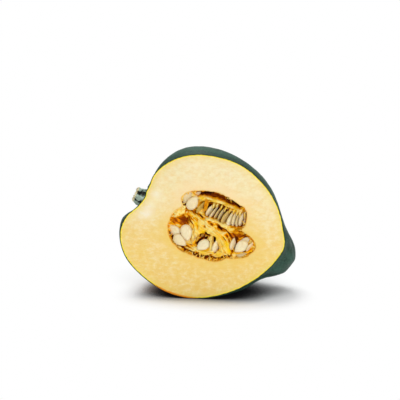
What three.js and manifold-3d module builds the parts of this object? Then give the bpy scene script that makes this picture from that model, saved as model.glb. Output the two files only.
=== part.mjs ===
// Acorn squash, one cut half: rind and flesh with the open seed cavity, the stem,
// the pulp and the separate seeds. Millimetres, +Z up, origin at the bottom centre.
//
// Everything is modelled in the frame of the cut face and then stood up:
// x runs along the face, y up the face, z out of the face; the face is the plane z = 0.

import * as THREE from 'three';
import { mergeVertices } from 'three/addons/utils/BufferGeometryUtils.js';
import Module from 'manifold-3d';

const wasm = await Module();
wasm.setup();

const DEG = Math.PI / 180;
const GAP = 0.35; // clearance between pieces that touch in the real squash

// How the half rests: the face leans back, and the ribs below are worn flat.
const STAND = { lean: 4, flat: 2 };

// The whole fruit: distance from its centre to the skin, from the blossom tip (0 degrees)
// along the side to the stem (180 degrees), with ten ribs around the stem axis.
const FRUIT = {
  angle: [0, 14, 32, 54, 78, 102, 126, 146, 162, 180],
  radius: [86, 77, 72, 70.5, 68, 69, 70, 65.5, 59, 50],
  centre: [-3.6, 0, -14], // the knife passed 14 mm in front of the core
  tilt: 24, // the stem axis falls towards the blossom tip
  turn: 4, // and runs back from the face
  ribs: 10,
  ribPhase: -10,
  ribDepth: 0.08,
  stemRibDepth: 0.06,
  backRibs: 0.5, // the creases are this much deeper straight behind the face
  creaseWidth: 0.2,
  lopside: 0.045,
  lopsideAngle: -69,
};

// One lobe behind the blossom end is fuller than the others: a ball that melts into the fruit,
// more sharply the higher the blend.
const LOBE = { centre: [59.5, -29.5, -30], radius: 18.5, blend: 5.5 };

// Outline of the cut face around its centre, with the notch of the stem at 143 to 166 degrees.
const RIM = {
  angle: [0, 20, 40, 60, 80, 100, 120, 134, 143, 150, 155, 160, 166, 174, 186, 202, 220, 240,
    262, 284, 304, 320, 334, 347],
  radius: [70, 67, 64.5, 63.5, 62.5, 63.5, 63.5, 62, 59, 58, 57, 58, 61, 68, 74,
    75, 71.5, 68.5, 66, 64, 64.5, 67, 70.5, 73.5],
  fade: 30, // behind the face the outline turns into the fruit over this angle
};

// Mouth of the seed cavity around its own centre.
const CAVITY = {
  centre: [6, 0],
  angle: [3, 14, 28, 38, 50, 72, 95, 117, 128, 137, 145, 156, 172, 190, 207, 220, 235, 262, 284,
    298, 312, 324, 337, 345, 353],
  radius: [34, 36, 35.5, 31.5, 31, 31, 32.5, 36, 37.5, 37, 30, 32.5, 37.5, 38.5, 36.5,
    34, 30, 29.5, 32, 32.5, 38, 43, 43, 40, 33.5],
  depth: 26,
  fullness: 2.4, // 2 is an ellipsoid, more is a steeper wall
};

// The pulp fills the cavity up to a floor; strands and the beds of the flat seeds stand
// higher, hollows are sunk into it.
const PULP = { floor: -6.5, gap: 0.7, strandRoundness: 0.8, hollowRoundness: 3, edgeRoundness: 8 };
const EDGE_DEPTH = { // how far below the face the pulp meets the cavity wall
  angle: [0, 25, 42, 60, 90, 108, 125, 150, 180, 215, 240, 290, 330],
  depth: [2, 4, 9, 10, 9, 4, 2, 1.5, 3, 4, 2.5, 2.5, 2],
};
const STRANDS = [
  { name: 'core', top: -0.8, width: 8.5, path: [[-19, 12], [-8, 6], [2, 0], [12, -6], [19, -14], [21, -23]] },
  { name: 'right shelf', top: -1.2, width: 5, path: [[4, 5], [12, 2], [22, -3], [33, -3.5]] },
  { name: 'upper strip', top: -1.6, width: 4.5, path: [[-4, 26], [4, 24.5], [13, 22.5], [24, 18], [32, 14.5]] },
  { name: 'left bank', top: -1.2, width: 4, path: [[-28, 8], [-22, 12], [-16, 13]] },
  { name: 'lower strip', top: -1.4, width: 4, path: [[-13, -19.5], [-5, -23], [6, -24.5], [16, -26], [25, -25]] },
  { name: 'lower partition', top: -2, width: 3, path: [[6.5, -9], [6.5, -20]] },
  { name: 'left partition', top: -2.5, width: 3, path: [[-8, -5], [-9, -16]] },
  { name: 'right bank', top: -1.6, width: 3.5, path: [[39, -8], [43.5, -13], [43, -20], [38, -25]] },
  { name: 'upper left bed', top: -4.2, width: 9, path: [[-15, 23], [-8, 24]] },
  { name: 'lower left bed', top: -5.4, width: 11, path: [[-26, -4], [-20, -9], [-15, -10]] },
  { name: 'lower bed', top: -3.8, width: 7, path: [[-3, -18], [4, -17]] },
  { name: 'right bed', top: -3.4, width: 7, path: [[31, -19], [37, -17]] },
];
const HOLLOWS = [
  { name: 'left hollow', centre: [-17.5, 5.5], radius: 7, bottom: -9 },
  { name: 'small left hollow', centre: [-26.5, 3.5], radius: 4.5, bottom: -8 },
  { name: 'right hollow', centre: [31, -8.5], radius: 6, bottom: -9 },
  { name: 'middle hollow', centre: [-1.5, -9], radius: 4, bottom: -11 },
];

// Seeds: x, y, z of the middle, then heading of the pointed end in the face, roll about the
// long axis (0 lies flat to the face, 90 stands on edge), dip of the pointed end, and length.
const SEED = {
  width: 0.65, // share of the length, as the thickness
  thickness: 0.155,
  taper: 0.26,
  bluntness: 0.1,
  flatness: 0.8,
  around: 10,
  along: 6,
  nest: 0.5, // the pulp stays this far off
};
const SEEDS = [
  // upper left group
  [-14.9, 24.2, -3.6, 245, -12, 6, 13],
  [-9.4, 20.0, -1.9, 58, 8, 0, 14.2],
  [-6.5, 28.3, -6.2, 15, 10, 0, 11.5],
  // upper row, on edge
  [-2.4, 15.5, -4.6, 57, 62, 0, 12.5],
  [5.8, 13.6, -5.0, 60, 68, 0, 12.5],
  [8.6, 11.2, -5.2, 56, 80, 0, 15],
  [12.6, 11.3, -6.0, 60, 76, 0, 13],
  [15.6, 10.0, -5.8, 63, 74, 0, 13.5],
  [19.4, 7.3, -5.0, 66, 56, 0, 14.5],
  [23.6, 5.6, -5.2, 72, 64, 0, 15.2],
  [27.0, 6.2, -5.4, 78, 74, 0, 13],
  [30.0, 5.2, -6.0, 80, 78, 0, 12.5],
  [33.3, 6.2, -5.2, 76, 68, 0, 12.8],
  [37.2, 4.4, -6.4, 76, 66, 0, 10],
  // lower left group
  [-25.2, -3.9, -4.8, 146, -6, 2, 13.2],
  [-19.6, -0.6, -8.4, 104, 6, 4, 12.5],
  [-14.7, -6.9, -1.7, -80, 4, 0, 15.4],
  [-20.5, -14.0, -3.0, -40, -8, 2, 13.8],
  [-18.2, -16.2, -7.0, -22, -12, 0, 11],
  // lower middle
  [-6.9, -11.2, -6.2, 66, 78, 0, 11.5],
  [-0.4, -17.8, -2.6, 213, 8, 0, 13.4],
  [10.9, -18.2, -4.6, 76, 58, 0, 12.2],
  // lower right pocket
  [26.6, -15.8, -5.2, 78, 80, 0, 11.5],
  [33.1, -18.0, -1.9, 221, 3, 0, 14.2],
  [37.2, -14.4, -6.6, 40, 12, 0, 12],
  [41.5, -17.6, -4.9, 54, 72, 0, 11],
  [34.0, -24.6, -4.8, 14, -58, 0, 11],
  // one more seed deep in the middle hollow
  [0.2, -9.8, -8.8, 60, 40, 0, 11.5],
];

// Stem: five ridges, flared where it joins the fruit, torn off square.
const STEM = {
  along: [0, 2, 5, 9, 12, 14],
  radius: [8.6, 9.2, 7.6, 7.2, 7.8, 7.2],
  sink: 3, // starts inside the fruit and is cut back to its skin
  ridges: 5,
  ridgeDepth: 0.12,
  sides: 30,
};

const AROUND = 72; // points round the half and round the cavity
const OUTER_BETA = [0, 4, 9, 15, 22, 30, 38, 46, 54, 62, 70, 78, 85];
const CAVITY_GAMMA = [0, 12, 26, 40, 54, 67, 79];
const PULP_GAMMA = [0, 22, 42, 62, 78]; // from the pulp's edge down to its underside
const PULP_RINGS = 14;

const FLOOR_SLAB = 300; // size of the slab that wears the ribs flat
const SEARCH = { near: 5, far: 125, steps: 30 }; // along a ray, for the fruit's skin
const WELD = 1e-4; // points closer than this are one

const LOOKS = {
  squash_half: { color: 0xf2d98c, roughness: 0.6 },
  stem: { color: 0x7d8369, roughness: 0.8 },
  pulp: { color: 0xf4b92f, roughness: 0.35 },
  seed: { color: 0xeadfc8, roughness: 0.5 },
};

// ---------------------------------------------------------------------------
// Curves

// Smooth curve through values given at rising knots; it closes on itself with a period.
function smooth(knots, values, x, period = 0) {
  let k = knots;
  let v = values;
  let at = x;
  const last = knots.length - 1;
  if (period) {
    k = [knots[last] - period, ...knots, knots[0] + period, knots[1] + period];
    v = [values[last], ...values, values[0], values[1]];
    at = knots[0] + ((((x - knots[0]) % period) + period) % period);
  }
  let i = period ? 1 : 0;
  while (i < k.length - 2 && k[i + 1] <= at) i += 1;
  const slope = (j) => (j === 0 || j === k.length - 1 ? 0 : (v[j + 1] - v[j - 1]) / (k[j + 1] - k[j - 1]));
  const h = k[i + 1] - k[i];
  const t = THREE.MathUtils.clamp((at - k[i]) / h, 0, 1);
  return v[i] * (1 + 2 * t) * (1 - t) ** 2 + slope(i) * h * t * (1 - t) ** 2
    + v[i + 1] * t * t * (3 - 2 * t) + slope(i + 1) * h * t * t * (t - 1);
}

function direction(alpha, beta) {
  return new THREE.Vector3(
    Math.cos(beta) * Math.cos(alpha),
    Math.cos(beta) * Math.sin(alpha),
    -Math.sin(beta),
  );
}

// ---------------------------------------------------------------------------
// Outer surface of the half

const tilt = FRUIT.tilt * DEG;
const turn = FRUIT.turn * DEG;
const axis = new THREE.Vector3(
  Math.cos(tilt) * Math.cos(turn),
  -Math.sin(tilt) * Math.cos(turn),
  -Math.sin(turn),
); // stem to blossom tip
const above = new THREE.Vector3(Math.sin(tilt), Math.cos(tilt), 0);
const behind = new THREE.Vector3().crossVectors(above, axis);
const centre = new THREE.Vector3(...FRUIT.centre);
const lobeCentre = new THREE.Vector3(...LOBE.centre);

// Distance from the fruit's centre to its skin; phi is 0 below the axis and grows to the back.
function fruitRadius(psi, phi) {
  const side = Math.sin(psi);
  const crease = Math.cos((FRUIT.ribs / 2) * (phi - FRUIT.ribPhase * DEG));
  const soft = FRUIT.creaseWidth;
  const groove = 1 - Math.sqrt(crease ** 2 + soft ** 2) / Math.sqrt(1 + soft ** 2);
  const extra = psi > Math.PI / 2 ? FRUIT.stemRibDepth * 2 * side * (1 - side) : 0;
  const lop = 1 + FRUIT.lopside * side * Math.cos(phi - FRUIT.lopsideAngle * DEG);
  const radius = smooth(FRUIT.angle, FRUIT.radius, psi / DEG);
  const back = 1 + FRUIT.backRibs * Math.max(Math.sin(phi), 0) ** 2;
  return radius * lop * (1 - (FRUIT.ribDepth * side + extra) * back * groove);
}

function insideFruit(point) {
  const q = point.clone().sub(centre);
  const length = q.length();
  const psi = Math.acos(THREE.MathUtils.clamp(q.dot(axis) / length, -1, 1));
  const phi = Math.atan2(q.dot(behind), -q.dot(above));
  const fruit = fruitRadius(psi, phi) / length;
  const lobe = LOBE.radius / point.distanceTo(lobeCentre);
  return fruit ** LOBE.blend + lobe ** LOBE.blend > 1;
}

// Distance from the middle of the cut face to the fruit's skin.
function skinDistance(way) {
  let { near, far } = SEARCH;
  for (let step = 0; step < SEARCH.steps; step += 1) {
    const middle = (near + far) / 2;
    if (insideFruit(way.clone().multiplyScalar(middle))) near = middle;
    else far = middle;
  }
  return near;
}

function outerPoint(alpha, beta, grow = 0) {
  const fade = THREE.MathUtils.smoothstep(1 - beta / (RIM.fade * DEG), 0, 1);
  const rim = smooth(RIM.angle, RIM.radius, alpha / DEG, 360);
  const blend = 1 + (rim / skinDistance(direction(alpha, 0)) - 1) * fade;
  const way = direction(alpha, beta);
  return way.multiplyScalar(skinDistance(way) * blend + grow);
}

// ---------------------------------------------------------------------------
// Cavity

// Point of the cavity wall at a depth below the face; inset moves it into the hollow.
function wallPoint(alpha, depth, inset = 0) {
  const mouth = smooth(CAVITY.angle, CAVITY.radius, alpha / DEG, 360) - inset;
  const down = depth / (CAVITY.depth - inset);
  const radius = mouth * Math.max(1 - down ** CAVITY.fullness, 0) ** (1 / CAVITY.fullness);
  return new THREE.Vector3(
    CAVITY.centre[0] + radius * Math.cos(alpha),
    CAVITY.centre[1] + radius * Math.sin(alpha),
    -depth,
  );
}

// ---------------------------------------------------------------------------
// Meshes from rings of points

// A closed solid from rings of equal length, with one point closing each end.
function ringSolid(rings, firstPoint, lastPoint) {
  const count = rings[0].length;
  const points = [firstPoint, ...rings.flat(), lastPoint];
  const last = points.length - 1;
  const index = [];
  for (let i = 0; i < count; i += 1) {
    const next = (i + 1) % count;
    index.push(0, 1 + next, 1 + i);
    for (let ring = 0; ring < rings.length - 1; ring += 1) {
      const here = 1 + ring * count;
      const there = here + count;
      index.push(here + i, there + next, there + i);
      index.push(here + i, here + next, there + next);
    }
    const end = 1 + (rings.length - 1) * count;
    index.push(end + i, end + next, last);
  }
  const geometry = new THREE.BufferGeometry().setFromPoints(points);
  geometry.setIndex(index);
  return geometry;
}

function ring(count, pointAt) {
  return Array.from({ length: count }, (_, i) => pointAt((i / count) * 2 * Math.PI));
}

function toManifold(geometry) {
  const bare = geometry.clone();
  bare.deleteAttribute('normal');
  bare.deleteAttribute('uv');
  const merged = mergeVertices(bare, WELD);
  return new wasm.Manifold(new wasm.Mesh({
    numProp: 3,
    vertProperties: new Float32Array(merged.attributes.position.array),
    triVerts: new Uint32Array(merged.index.array),
  }));
}

function fromManifold(solid) {
  const mesh = solid.getMesh();
  const geometry = new THREE.BufferGeometry();
  geometry.setAttribute('position', new THREE.BufferAttribute(new Float32Array(mesh.vertProperties), 3));
  geometry.setIndex(new THREE.BufferAttribute(new Uint32Array(mesh.triVerts), 1));
  return geometry;
}

function finished(name, geometry, look) {
  geometry.computeVertexNormals();
  const material = new THREE.MeshStandardMaterial({ ...look, metalness: 0 });
  const mesh = new THREE.Mesh(geometry, material);
  mesh.name = name;
  return mesh;
}

// ---------------------------------------------------------------------------
// Squash half

const FLOOR_NORMAL = new THREE.Vector3(0, -Math.cos(STAND.lean * DEG), -Math.sin(STAND.lean * DEG));

function outerRings(grow = 0) {
  return OUTER_BETA.map((beta) => ring(AROUND, (alpha) => outerPoint(alpha, beta * DEG, grow)));
}

// A slab that takes off everything beyond a distance in the direction of the floor.
function floorSlab(distance) {
  const slab = new THREE.BoxGeometry(FLOOR_SLAB, FLOOR_SLAB, FLOOR_SLAB);
  slab.rotateX(STAND.lean * DEG);
  const offset = FLOOR_NORMAL.clone().multiplyScalar(distance + FLOOR_SLAB / 2);
  slab.translate(offset.x, offset.y, offset.z);
  return toManifold(slab);
}

function squashHalf() {
  const outer = outerRings();
  const cavity = CAVITY_GAMMA.map((gamma) => {
    const depth = CAVITY.depth * Math.sin(gamma * DEG);
    return ring(AROUND, (alpha) => wallPoint(alpha, depth));
  });
  const bottom = new THREE.Vector3(CAVITY.centre[0], CAVITY.centre[1], -CAVITY.depth);
  const rings = [...outer.reverse(), ...cavity];
  const solid = ringSolid(rings, outerPoint(0, Math.PI / 2), bottom);
  const lowest = Math.max(...outer.flat().map((point) => point.dot(FLOOR_NORMAL)));
  return fromManifold(toManifold(solid).subtract(floorSlab(lowest - STAND.flat)));
}

// ---------------------------------------------------------------------------
// Stem

function stem() {
  const outwards = axis.clone().negate();
  const baseDistance = FRUIT.radius[FRUIT.radius.length - 1] - STEM.sink;
  const base = centre.clone().addScaledVector(outwards, baseDistance);
  const length = STEM.along[STEM.along.length - 1] + STEM.sink;
  const at = (distance) => base.clone().addScaledVector(outwards, distance);
  const rings = STEM.along.map((along, i) => ring(STEM.sides, (turned) => {
    const ridge = 1 + STEM.ridgeDepth * Math.cos(STEM.ridges * turned);
    const radius = STEM.radius[i] * ridge;
    return at(i ? along + STEM.sink : 0)
      .addScaledVector(above, radius * Math.cos(turned))
      .addScaledVector(behind, radius * Math.sin(turned));
  }));
  const whole = toManifold(ringSolid(rings, at(0), at(length)));
  const fruit = toManifold(ringSolid(
    outerRings(GAP).reverse(),
    outerPoint(0, Math.PI / 2, GAP),
    new THREE.Vector3(0, 0, 0),
  ));
  return fromManifold(whole.subtract(fruit));
}

// ---------------------------------------------------------------------------
// Seeds

// A flat teardrop along x, its pointed end at +x, grown outwards by a margin.
function seedGeometry(length, margin = 0) {
  const geometry = new THREE.SphereGeometry(1, SEED.around, SEED.along);
  geometry.rotateZ(-Math.PI / 2);
  const position = geometry.attributes.position;
  for (let i = 0; i < position.count; i += 1) {
    const x = position.getX(i);
    const z = position.getZ(i);
    const narrowing = 1 - SEED.taper * x - SEED.bluntness * x * x;
    position.setX(i, x * (length / 2 + margin));
    position.setY(i, position.getY(i) * ((length * SEED.width) / 2 * narrowing + margin));
    position.setZ(i, Math.sign(z) * Math.abs(z) ** SEED.flatness * ((length * SEED.thickness) / 2 + margin));
  }
  return geometry;
}

function placeSeed(object, [x, y, z, heading, roll, dip]) {
  object.position.set(x, y, z);
  object.rotation.set(roll * DEG, dip * DEG, heading * DEG, 'ZYX');
  object.updateMatrix();
  return object;
}

function seedMesh(row, number) {
  const geometry = seedGeometry(row[6]);
  geometry.deleteAttribute('normal');
  geometry.deleteAttribute('uv');
  const name = `seed_${String(number).padStart(2, '0')}`;
  return placeSeed(finished(name, mergeVertices(geometry, WELD), LOOKS.seed), row);
}

// ---------------------------------------------------------------------------
// Pulp

function distanceToPath(x, y, path) {
  let nearest = Infinity;
  for (let i = 0; i < path.length - 1; i += 1) {
    const [ax, ay] = path[i];
    const [bx, by] = path[i + 1];
    const along = ((x - ax) * (bx - ax) + (y - ay) * (by - ay)) / ((bx - ax) ** 2 + (by - ay) ** 2);
    const t = THREE.MathUtils.clamp(along, 0, 1);
    nearest = Math.min(nearest, Math.hypot(x - ax - t * (bx - ax), y - ay - t * (by - ay)));
  }
  return nearest;
}

function pulpHeight(x, y) {
  let z = PULP.floor;
  for (const strand of STRANDS) {
    const off = Math.min(distanceToPath(x, y, strand.path) / strand.width, 1);
    z = Math.max(z, PULP.floor + (strand.top - PULP.floor) * (1 - off ** 2) ** PULP.strandRoundness);
  }
  for (const hollow of HOLLOWS) {
    const off = Math.min(Math.hypot(x - hollow.centre[0], y - hollow.centre[1]) / hollow.radius, 1);
    z = Math.min(z, THREE.MathUtils.lerp(hollow.bottom, z, off ** PULP.hollowRoundness));
  }
  return z;
}

function edgePoint(alpha) {
  const depth = smooth(EDGE_DEPTH.angle, EDGE_DEPTH.depth, alpha / DEG, 360);
  return wallPoint(alpha, depth, PULP.gap);
}

function pulp() {
  const middle = new THREE.Vector3(CAVITY.centre[0], CAVITY.centre[1], 0);
  const top = [];
  for (let i = 1; i < PULP_RINGS; i += 1) {
    const out = i / PULP_RINGS;
    top.push(ring(AROUND, (alpha) => {
      const edge = edgePoint(alpha);
      const point = middle.clone().lerp(edge, out);
      const height = pulpHeight(point.x, point.y);
      point.z = THREE.MathUtils.lerp(height, edge.z, out ** PULP.edgeRoundness);
      return point;
    }));
  }
  const deepest = CAVITY.depth - PULP.gap;
  const under = PULP_GAMMA.map((gamma) => ring(AROUND, (alpha) => {
    const edgeDepth = -edgePoint(alpha).z;
    return wallPoint(alpha, THREE.MathUtils.lerp(edgeDepth, deepest, Math.sin(gamma * DEG)), PULP.gap);
  }));
  const topMiddle = middle.clone().setZ(pulpHeight(middle.x, middle.y));
  const bottomMiddle = middle.clone().setZ(-deepest);
  let solid = toManifold(ringSolid([...top, ...under].reverse(), bottomMiddle, topMiddle));
  for (const row of SEEDS) {
    const tool = placeSeed(new THREE.Object3D(), row);
    solid = solid.subtract(toManifold(seedGeometry(row[6], SEED.nest).applyMatrix4(tool.matrix)));
  }
  return fromManifold(solid);
}

// ---------------------------------------------------------------------------
// Assembly

const half = new THREE.Group();
half.add(finished('squash_half', squashHalf(), LOOKS.squash_half));
half.add(finished('stem', stem(), LOOKS.stem));
half.add(finished('pulp', pulp(), LOOKS.pulp));
SEEDS.forEach((row, i) => half.add(seedMesh(row, i + 1)));
half.rotation.x = Math.PI / 2 - STAND.lean * DEG;

const squash = new THREE.Group();
squash.add(half);
squash.updateMatrixWorld(true);
const box = new THREE.Box3().setFromObject(squash, true);
const middle = box.getCenter(new THREE.Vector3());
squash.position.set(-middle.x, -middle.y, -box.min.z);

export default squash;
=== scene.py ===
"""Looks of one cut acorn squash half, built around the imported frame: rind and flesh, pulp,
fibres, films, seeds and stem, on a plain white stage."""

import math

import bmesh
import bpy
import numpy as np
from bpy.props import FloatProperty, FloatVectorProperty, IntProperty, PointerProperty
from mathutils import Matrix, Vector


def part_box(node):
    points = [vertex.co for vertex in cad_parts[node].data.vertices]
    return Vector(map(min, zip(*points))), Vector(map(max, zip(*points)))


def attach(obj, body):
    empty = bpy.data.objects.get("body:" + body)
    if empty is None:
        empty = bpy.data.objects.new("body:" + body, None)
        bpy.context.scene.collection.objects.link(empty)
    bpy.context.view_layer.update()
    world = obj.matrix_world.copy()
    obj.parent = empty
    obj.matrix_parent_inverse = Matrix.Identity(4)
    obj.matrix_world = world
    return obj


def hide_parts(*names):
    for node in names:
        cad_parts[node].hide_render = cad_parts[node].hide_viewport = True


bl_info = {
    "name": "Acorn Squash Half",
    "version": (1, 0, 0),
    "blender": (4, 5, 0),
    "location": "3D View > Sidebar > Squash",
    "description": "Builds one cut acorn squash half with its pulp, seeds and stem",
    "category": "Object",
}

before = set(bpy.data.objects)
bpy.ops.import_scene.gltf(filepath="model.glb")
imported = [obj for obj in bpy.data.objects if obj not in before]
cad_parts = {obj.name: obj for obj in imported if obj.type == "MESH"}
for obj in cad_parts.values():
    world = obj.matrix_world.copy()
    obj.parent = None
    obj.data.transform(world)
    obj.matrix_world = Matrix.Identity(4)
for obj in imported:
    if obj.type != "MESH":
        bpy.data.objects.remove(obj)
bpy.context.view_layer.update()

MM = 0.001
DEG = math.pi / 180

# ---------------------------------------------------------------------------
# Form, in millimetres and degrees, in the frame of the cut face: x runs along the face,
# y up the face and z out of it; the face is the plane z = 0.

LEAN = 4

FRUIT = {
    "angle": (0, 14, 32, 54, 78, 102, 126, 146, 162, 180),
    "radius": (86, 77, 72, 70.5, 68, 69, 70, 65.5, 59, 50),
    "centre": (-3.6, 0, -14),
    "tilt": 24,
    "turn": 4,
    "ribs": 10,
    "rib_phase": -10,
    "rib_depth": 0.08,
    "stem_rib_depth": 0.06,
    "back_ribs": 0.5,
    "crease_width": 0.2,
    "lopside": 0.045,
    "lopside_angle": -69,
}
LOBE = {"centre": (59.5, -29.5, -30), "radius": 18.5, "blend": 5.5}
RIM = {
    "angle": (0, 20, 40, 60, 80, 100, 120, 134, 143, 150, 155, 160, 166, 174, 186, 202, 220, 240,
              262, 284, 304, 320, 334, 347),
    "radius": (70, 67, 64.5, 63.5, 62.5, 63.5, 63.5, 62, 59, 58, 57, 58, 61, 68, 74,
               75, 71.5, 68.5, 66, 64, 64.5, 67, 70.5, 73.5),
    "fade": 30,
}
CAVITY = {
    "centre": (6, 0),
    "angle": (3, 14, 28, 38, 50, 72, 95, 117, 128, 137, 145, 156, 172, 190, 207, 220, 235, 262, 284,
              298, 312, 324, 337, 345, 353),
    "radius": (30.5, 33, 34.5, 31.5, 30.5, 30, 31, 34, 35.5, 34.5, 29.5, 32.5, 36, 37.5, 36,
               34.5, 31.5, 30.5, 32.5, 32.5, 38, 42.5, 43.5, 38, 28.5),
    "depth": 26,
    "fullness": 2.4,
}
PULP_FLOOR = -6.5
PULP_GAP = 0.7
EDGE_DEPTH = {
    "angle": (0, 25, 42, 60, 90, 108, 125, 150, 180, 215, 240, 290, 330),
    "depth": (2, 4, 9, 10, 9, 4, 2, 1.5, 3, 4, 2.5, 2.5, 2),
}
# Raised strands of pulp: height of the top, reach to each side and path.
STRANDS = (
    (-0.8, 8.5, ((-19, 12), (-8, 6), (2, 0), (12, -6), (19, -14), (21, -23))),
    (-1.2, 3.8, ((4, 5), (12, 2.4), (19, -1), (24, -3.2), (31, -2.6))),
    (-1.6, 4.2, ((-4, 25.2), (4, 24.2), (12, 22.4), (22, 18.4), (31, 14.4))),
    (-1.2, 4, ((-28, 8), (-22, 12), (-16, 13))),
    (-1.4, 4, ((-13, -19.5), (-5, -23), (6, -24.5), (16, -26), (25, -25))),
    (-2, 3, ((6.5, -9), (6.5, -20))),
    (-2.5, 3, ((-8, -5), (-9, -16))),
    (-3, 2, ((39, -8), (43.5, -12), (44.5, -16))),
    (-1.2, 6.5, ((-12, 6), (-8, -1), (-5, -6))),
    (-1.1, 5.5, ((-2, -3), (5, -7), (12, -10))),
    (-4.2, 9, ((-15, 23), (-8, 24))),
    (-5.4, 11, ((-26, -4), (-20, -9), (-15, -10))),
    (-3.8, 7, ((-3, -18), (4, -17))),
    (-3.4, 7, ((31, -19), (37, -17))),
)
# Rounded hollows: centre, reach, depth of the bottom and its tone from black 0 to pale 1; the dark tone is
# painted shade in the hollow.
HOLLOWS = (
    ((-17.3, 4), 6.6, -7.6, 0.12),
    ((-9, 14), 5, -5, 0.36),
    ((20, -9), 2.8, -4, 0.32),
    ((-26.5, 3.5), 4.2, -7, 0.18),
    ((28.5, -7.6), 6, -8, 0.17),
    ((37.4, -12.4), 3.6, -7, 0.12),
    ((5.9, 1.2), 3, -3.8, 0.34),
    ((-1.6, -9.8), 3.6, -10, 0.04),
)
# Finer torn gaps that only the looks have: depth of the bottom, reach to each side, tone and path; their dark
# tone is painted shade in the gaps.
CREVICES = (
    (-9, 2.6, 0.12, ((-5, 28.2), (3, 27.6), (9, 26.2), (15, 24.4), (21, 21.6), (26, 19), (31, 16.4))),
    (-9, 2, 0.0, ((-8, 28), (-3, 28), (3, 28.8), (8, 28))),
    (-9, 2, 0.0, ((25, 21), (31, 17))),
    (-11, 6.4, 0.03, ((6, 13.6), (10, 11.5), (20, 8), (26, 4), (31, 3.6), (34, 4))),
    (-7, 2, 0.07, ((-27, -13), (-21, -19), (-15, -22), (-9, -24.6), (-4, -27), (2, -29), (6, -28.2),
                     (10, -30), (15, -28.6), (18, -27.6), (23, -26.6))),
    # Painted shadow under seed 2.
    (-6, 2.2, 0.14, ((-15, 14.5), (-10, 12.6), (-5, 10))),
    (-9, 1.8, 0.03, ((2, -7), (5, -8.5))),
    (-9, 1.7, 0.02, ((3, -11), (1, -13))),
    (-10, 1.8, 0.02, ((9.4, -10.5), (9, -15.5))),
    (-8, 1.4, 0.05, ((12.8, -20), (11, -24))),
    (-8, 1.3, 0.04, ((-1.5, -12.5), (-5.5, -17.5))),
    (-8, 1.8, 0.05, ((28.8, -12), (28, -20))),
    (-7, 1.4, 0.08, ((35, -21.5), (37.5, -20.5))),
    (-6, 1.6, 0.3, ((13, -1), (16, -2.6), (20, -4.5), (25, -6), (30, -7))),
    (-8, 1.8, 0.05, ((-16, 17.5), (-12.5, 14.5))),
    (-7, 1.5, 0.1, ((37, 16), (36.8, 10))),
    (-7, 1.6, 0.06, ((-19.5, 20.5), (-16, 17.5))),
    (-8, 1.5, 0.04, ((-29.5, -10), (-27, -12), (-25.5, -16))),
    (-3, 1.4, 0.34, ((-13.2, 10.6), (-5.7, 6.3), (-4.3, -0.3))),
    (-3, 1.2, 0.38, ((-9, 13), (-3, 9), (0, 4), (1, -2))),
    (-2.6, 1.1, 0.4, ((-16, 8), (-10, 2), (-8, -3))),
    (-5, 1.3, 0.2, ((22.5, -12), (24.3, -17), (24.8, -23))),
)
RAGGED = (1.9, 2.4)  # reaches of the gaps with torn, uneven sides
# Places of brighter lemon pulp and of browner pulp: centre and reach.
LEMON = (((0, -6), 7), ((12.5, -10), 6), ((20, -16), 6), ((24, -22), 5), ((-6, 1), 5), ((-1, 24), 4),
         ((10, 22.4), 4), ((20, 19), 4), ((28, 15.6), 4), ((0, -24), 6), ((14, -26), 5))
BROWN = (((22, -1), 4), ((-23, 8), 5), ((-17, 9), 6), ((26, -6), 7), ((12, -0.5), 4), ((36, -9), 5),
         ((3.5, 17), 5), ((-26, 3.5), 4))

# Bundles of fibres: path, number, spread, thickness, lift and tone from dark 0 to pale 1.
BUNDLES = (
    (((-20, 13), (-12, 10), (-6, 5), (0, 0), (8, -5), (15, -11), (20, -18), (23, -25)),
     15, 12, 0.56, 0.2, 0.86),
    (((-15, 13), (-7, 9), (-4, 3), (-3, -5)), 7, 7, 0.56, 0.2, 0.86),
    (((3, 1), (12, 2), (20, -1.8), (27, -3.6), (33, -3)), 9, 3.4, 0.5, 0.3, 0.74),
    (((5, -3), (14, -10), (22, -23)), 6, 7, 0.56, 0.2, 0.76),
    (((12, -8), (16, -16), (17, -24)), 4, 5, 0.5, 0.2, 0.74),
    (((-4, 25.2), (3, 24.4), (11, 22.6), (20, 19.2), (31, 14.4)), 26, 3.6, 0.42, 0.6, 0.74),
    (((-31, 6), (-26, 11), (-18, 14.5), (-11, 12)), 14, 3.5, 0.34, 0.6, 0.6),
    (((-14, -19), (-8, -22), (0, -25.5), (8, -27), (16, -27), (25, -24.5)), 26, 4.4, 0.4, 0.6, 0.64),
    (((-9, -4), (-10, -16)), 7, 2.4, 0.3, 0.5, 0.76),
    (((-3.5, -6), (-5.5, -15)), 4, 1.4, 0.28, 0.6, 0.7),
    (((6, -7), (6.5, -21)), 7, 2.4, 0.3, 0.5, 0.8),
    (((8.6, -8), (8.4, -20)), 3, 1.2, 0.26, 0.5, 0.74),
    (((13, -9), (14.5, -21)), 6, 1.8, 0.3, 0.6, 0.72),
    (((33, -5), (38, -6.5), (42, -10), (45, -15), (43, -21), (38, -26), (30, -27.5)), 9, 2.2, 0.3, 0.3, 0.46),
    (((24, -9), (25, -16), (26, -25)), 10, 2.6, 0.34, 0.6, 0.76),
    (((-31, 0), (-29, -7), (-25, -13), (-20, -19)), 7, 1.4, 0.26, 0.4, 0.62),
    (((-30, 2), (-29, 6.5), (-25, 8), (-22.5, 5)), 7, 1.4, 0.28, 0.5, 0.46),
    (((32, 15.5), (37, 15), (38, 8), (39, 1)), 8, 2, 0.28, 0.5, 0.7),
    (((-20, 22), (-16, 16.5), (-9, 13)), 8, 1.6, 0.28, 0.5, 0.66),
    (((-5, 25), (-4.5, 21), (-6, 13)), 9, 2.4, 0.32, 0.7, 0.7),
    (((-17.5, 25), (-13, 27.6), (-7, 28.4)), 5, 0.8, 0.24, 0.4, 0.6),
)
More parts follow.
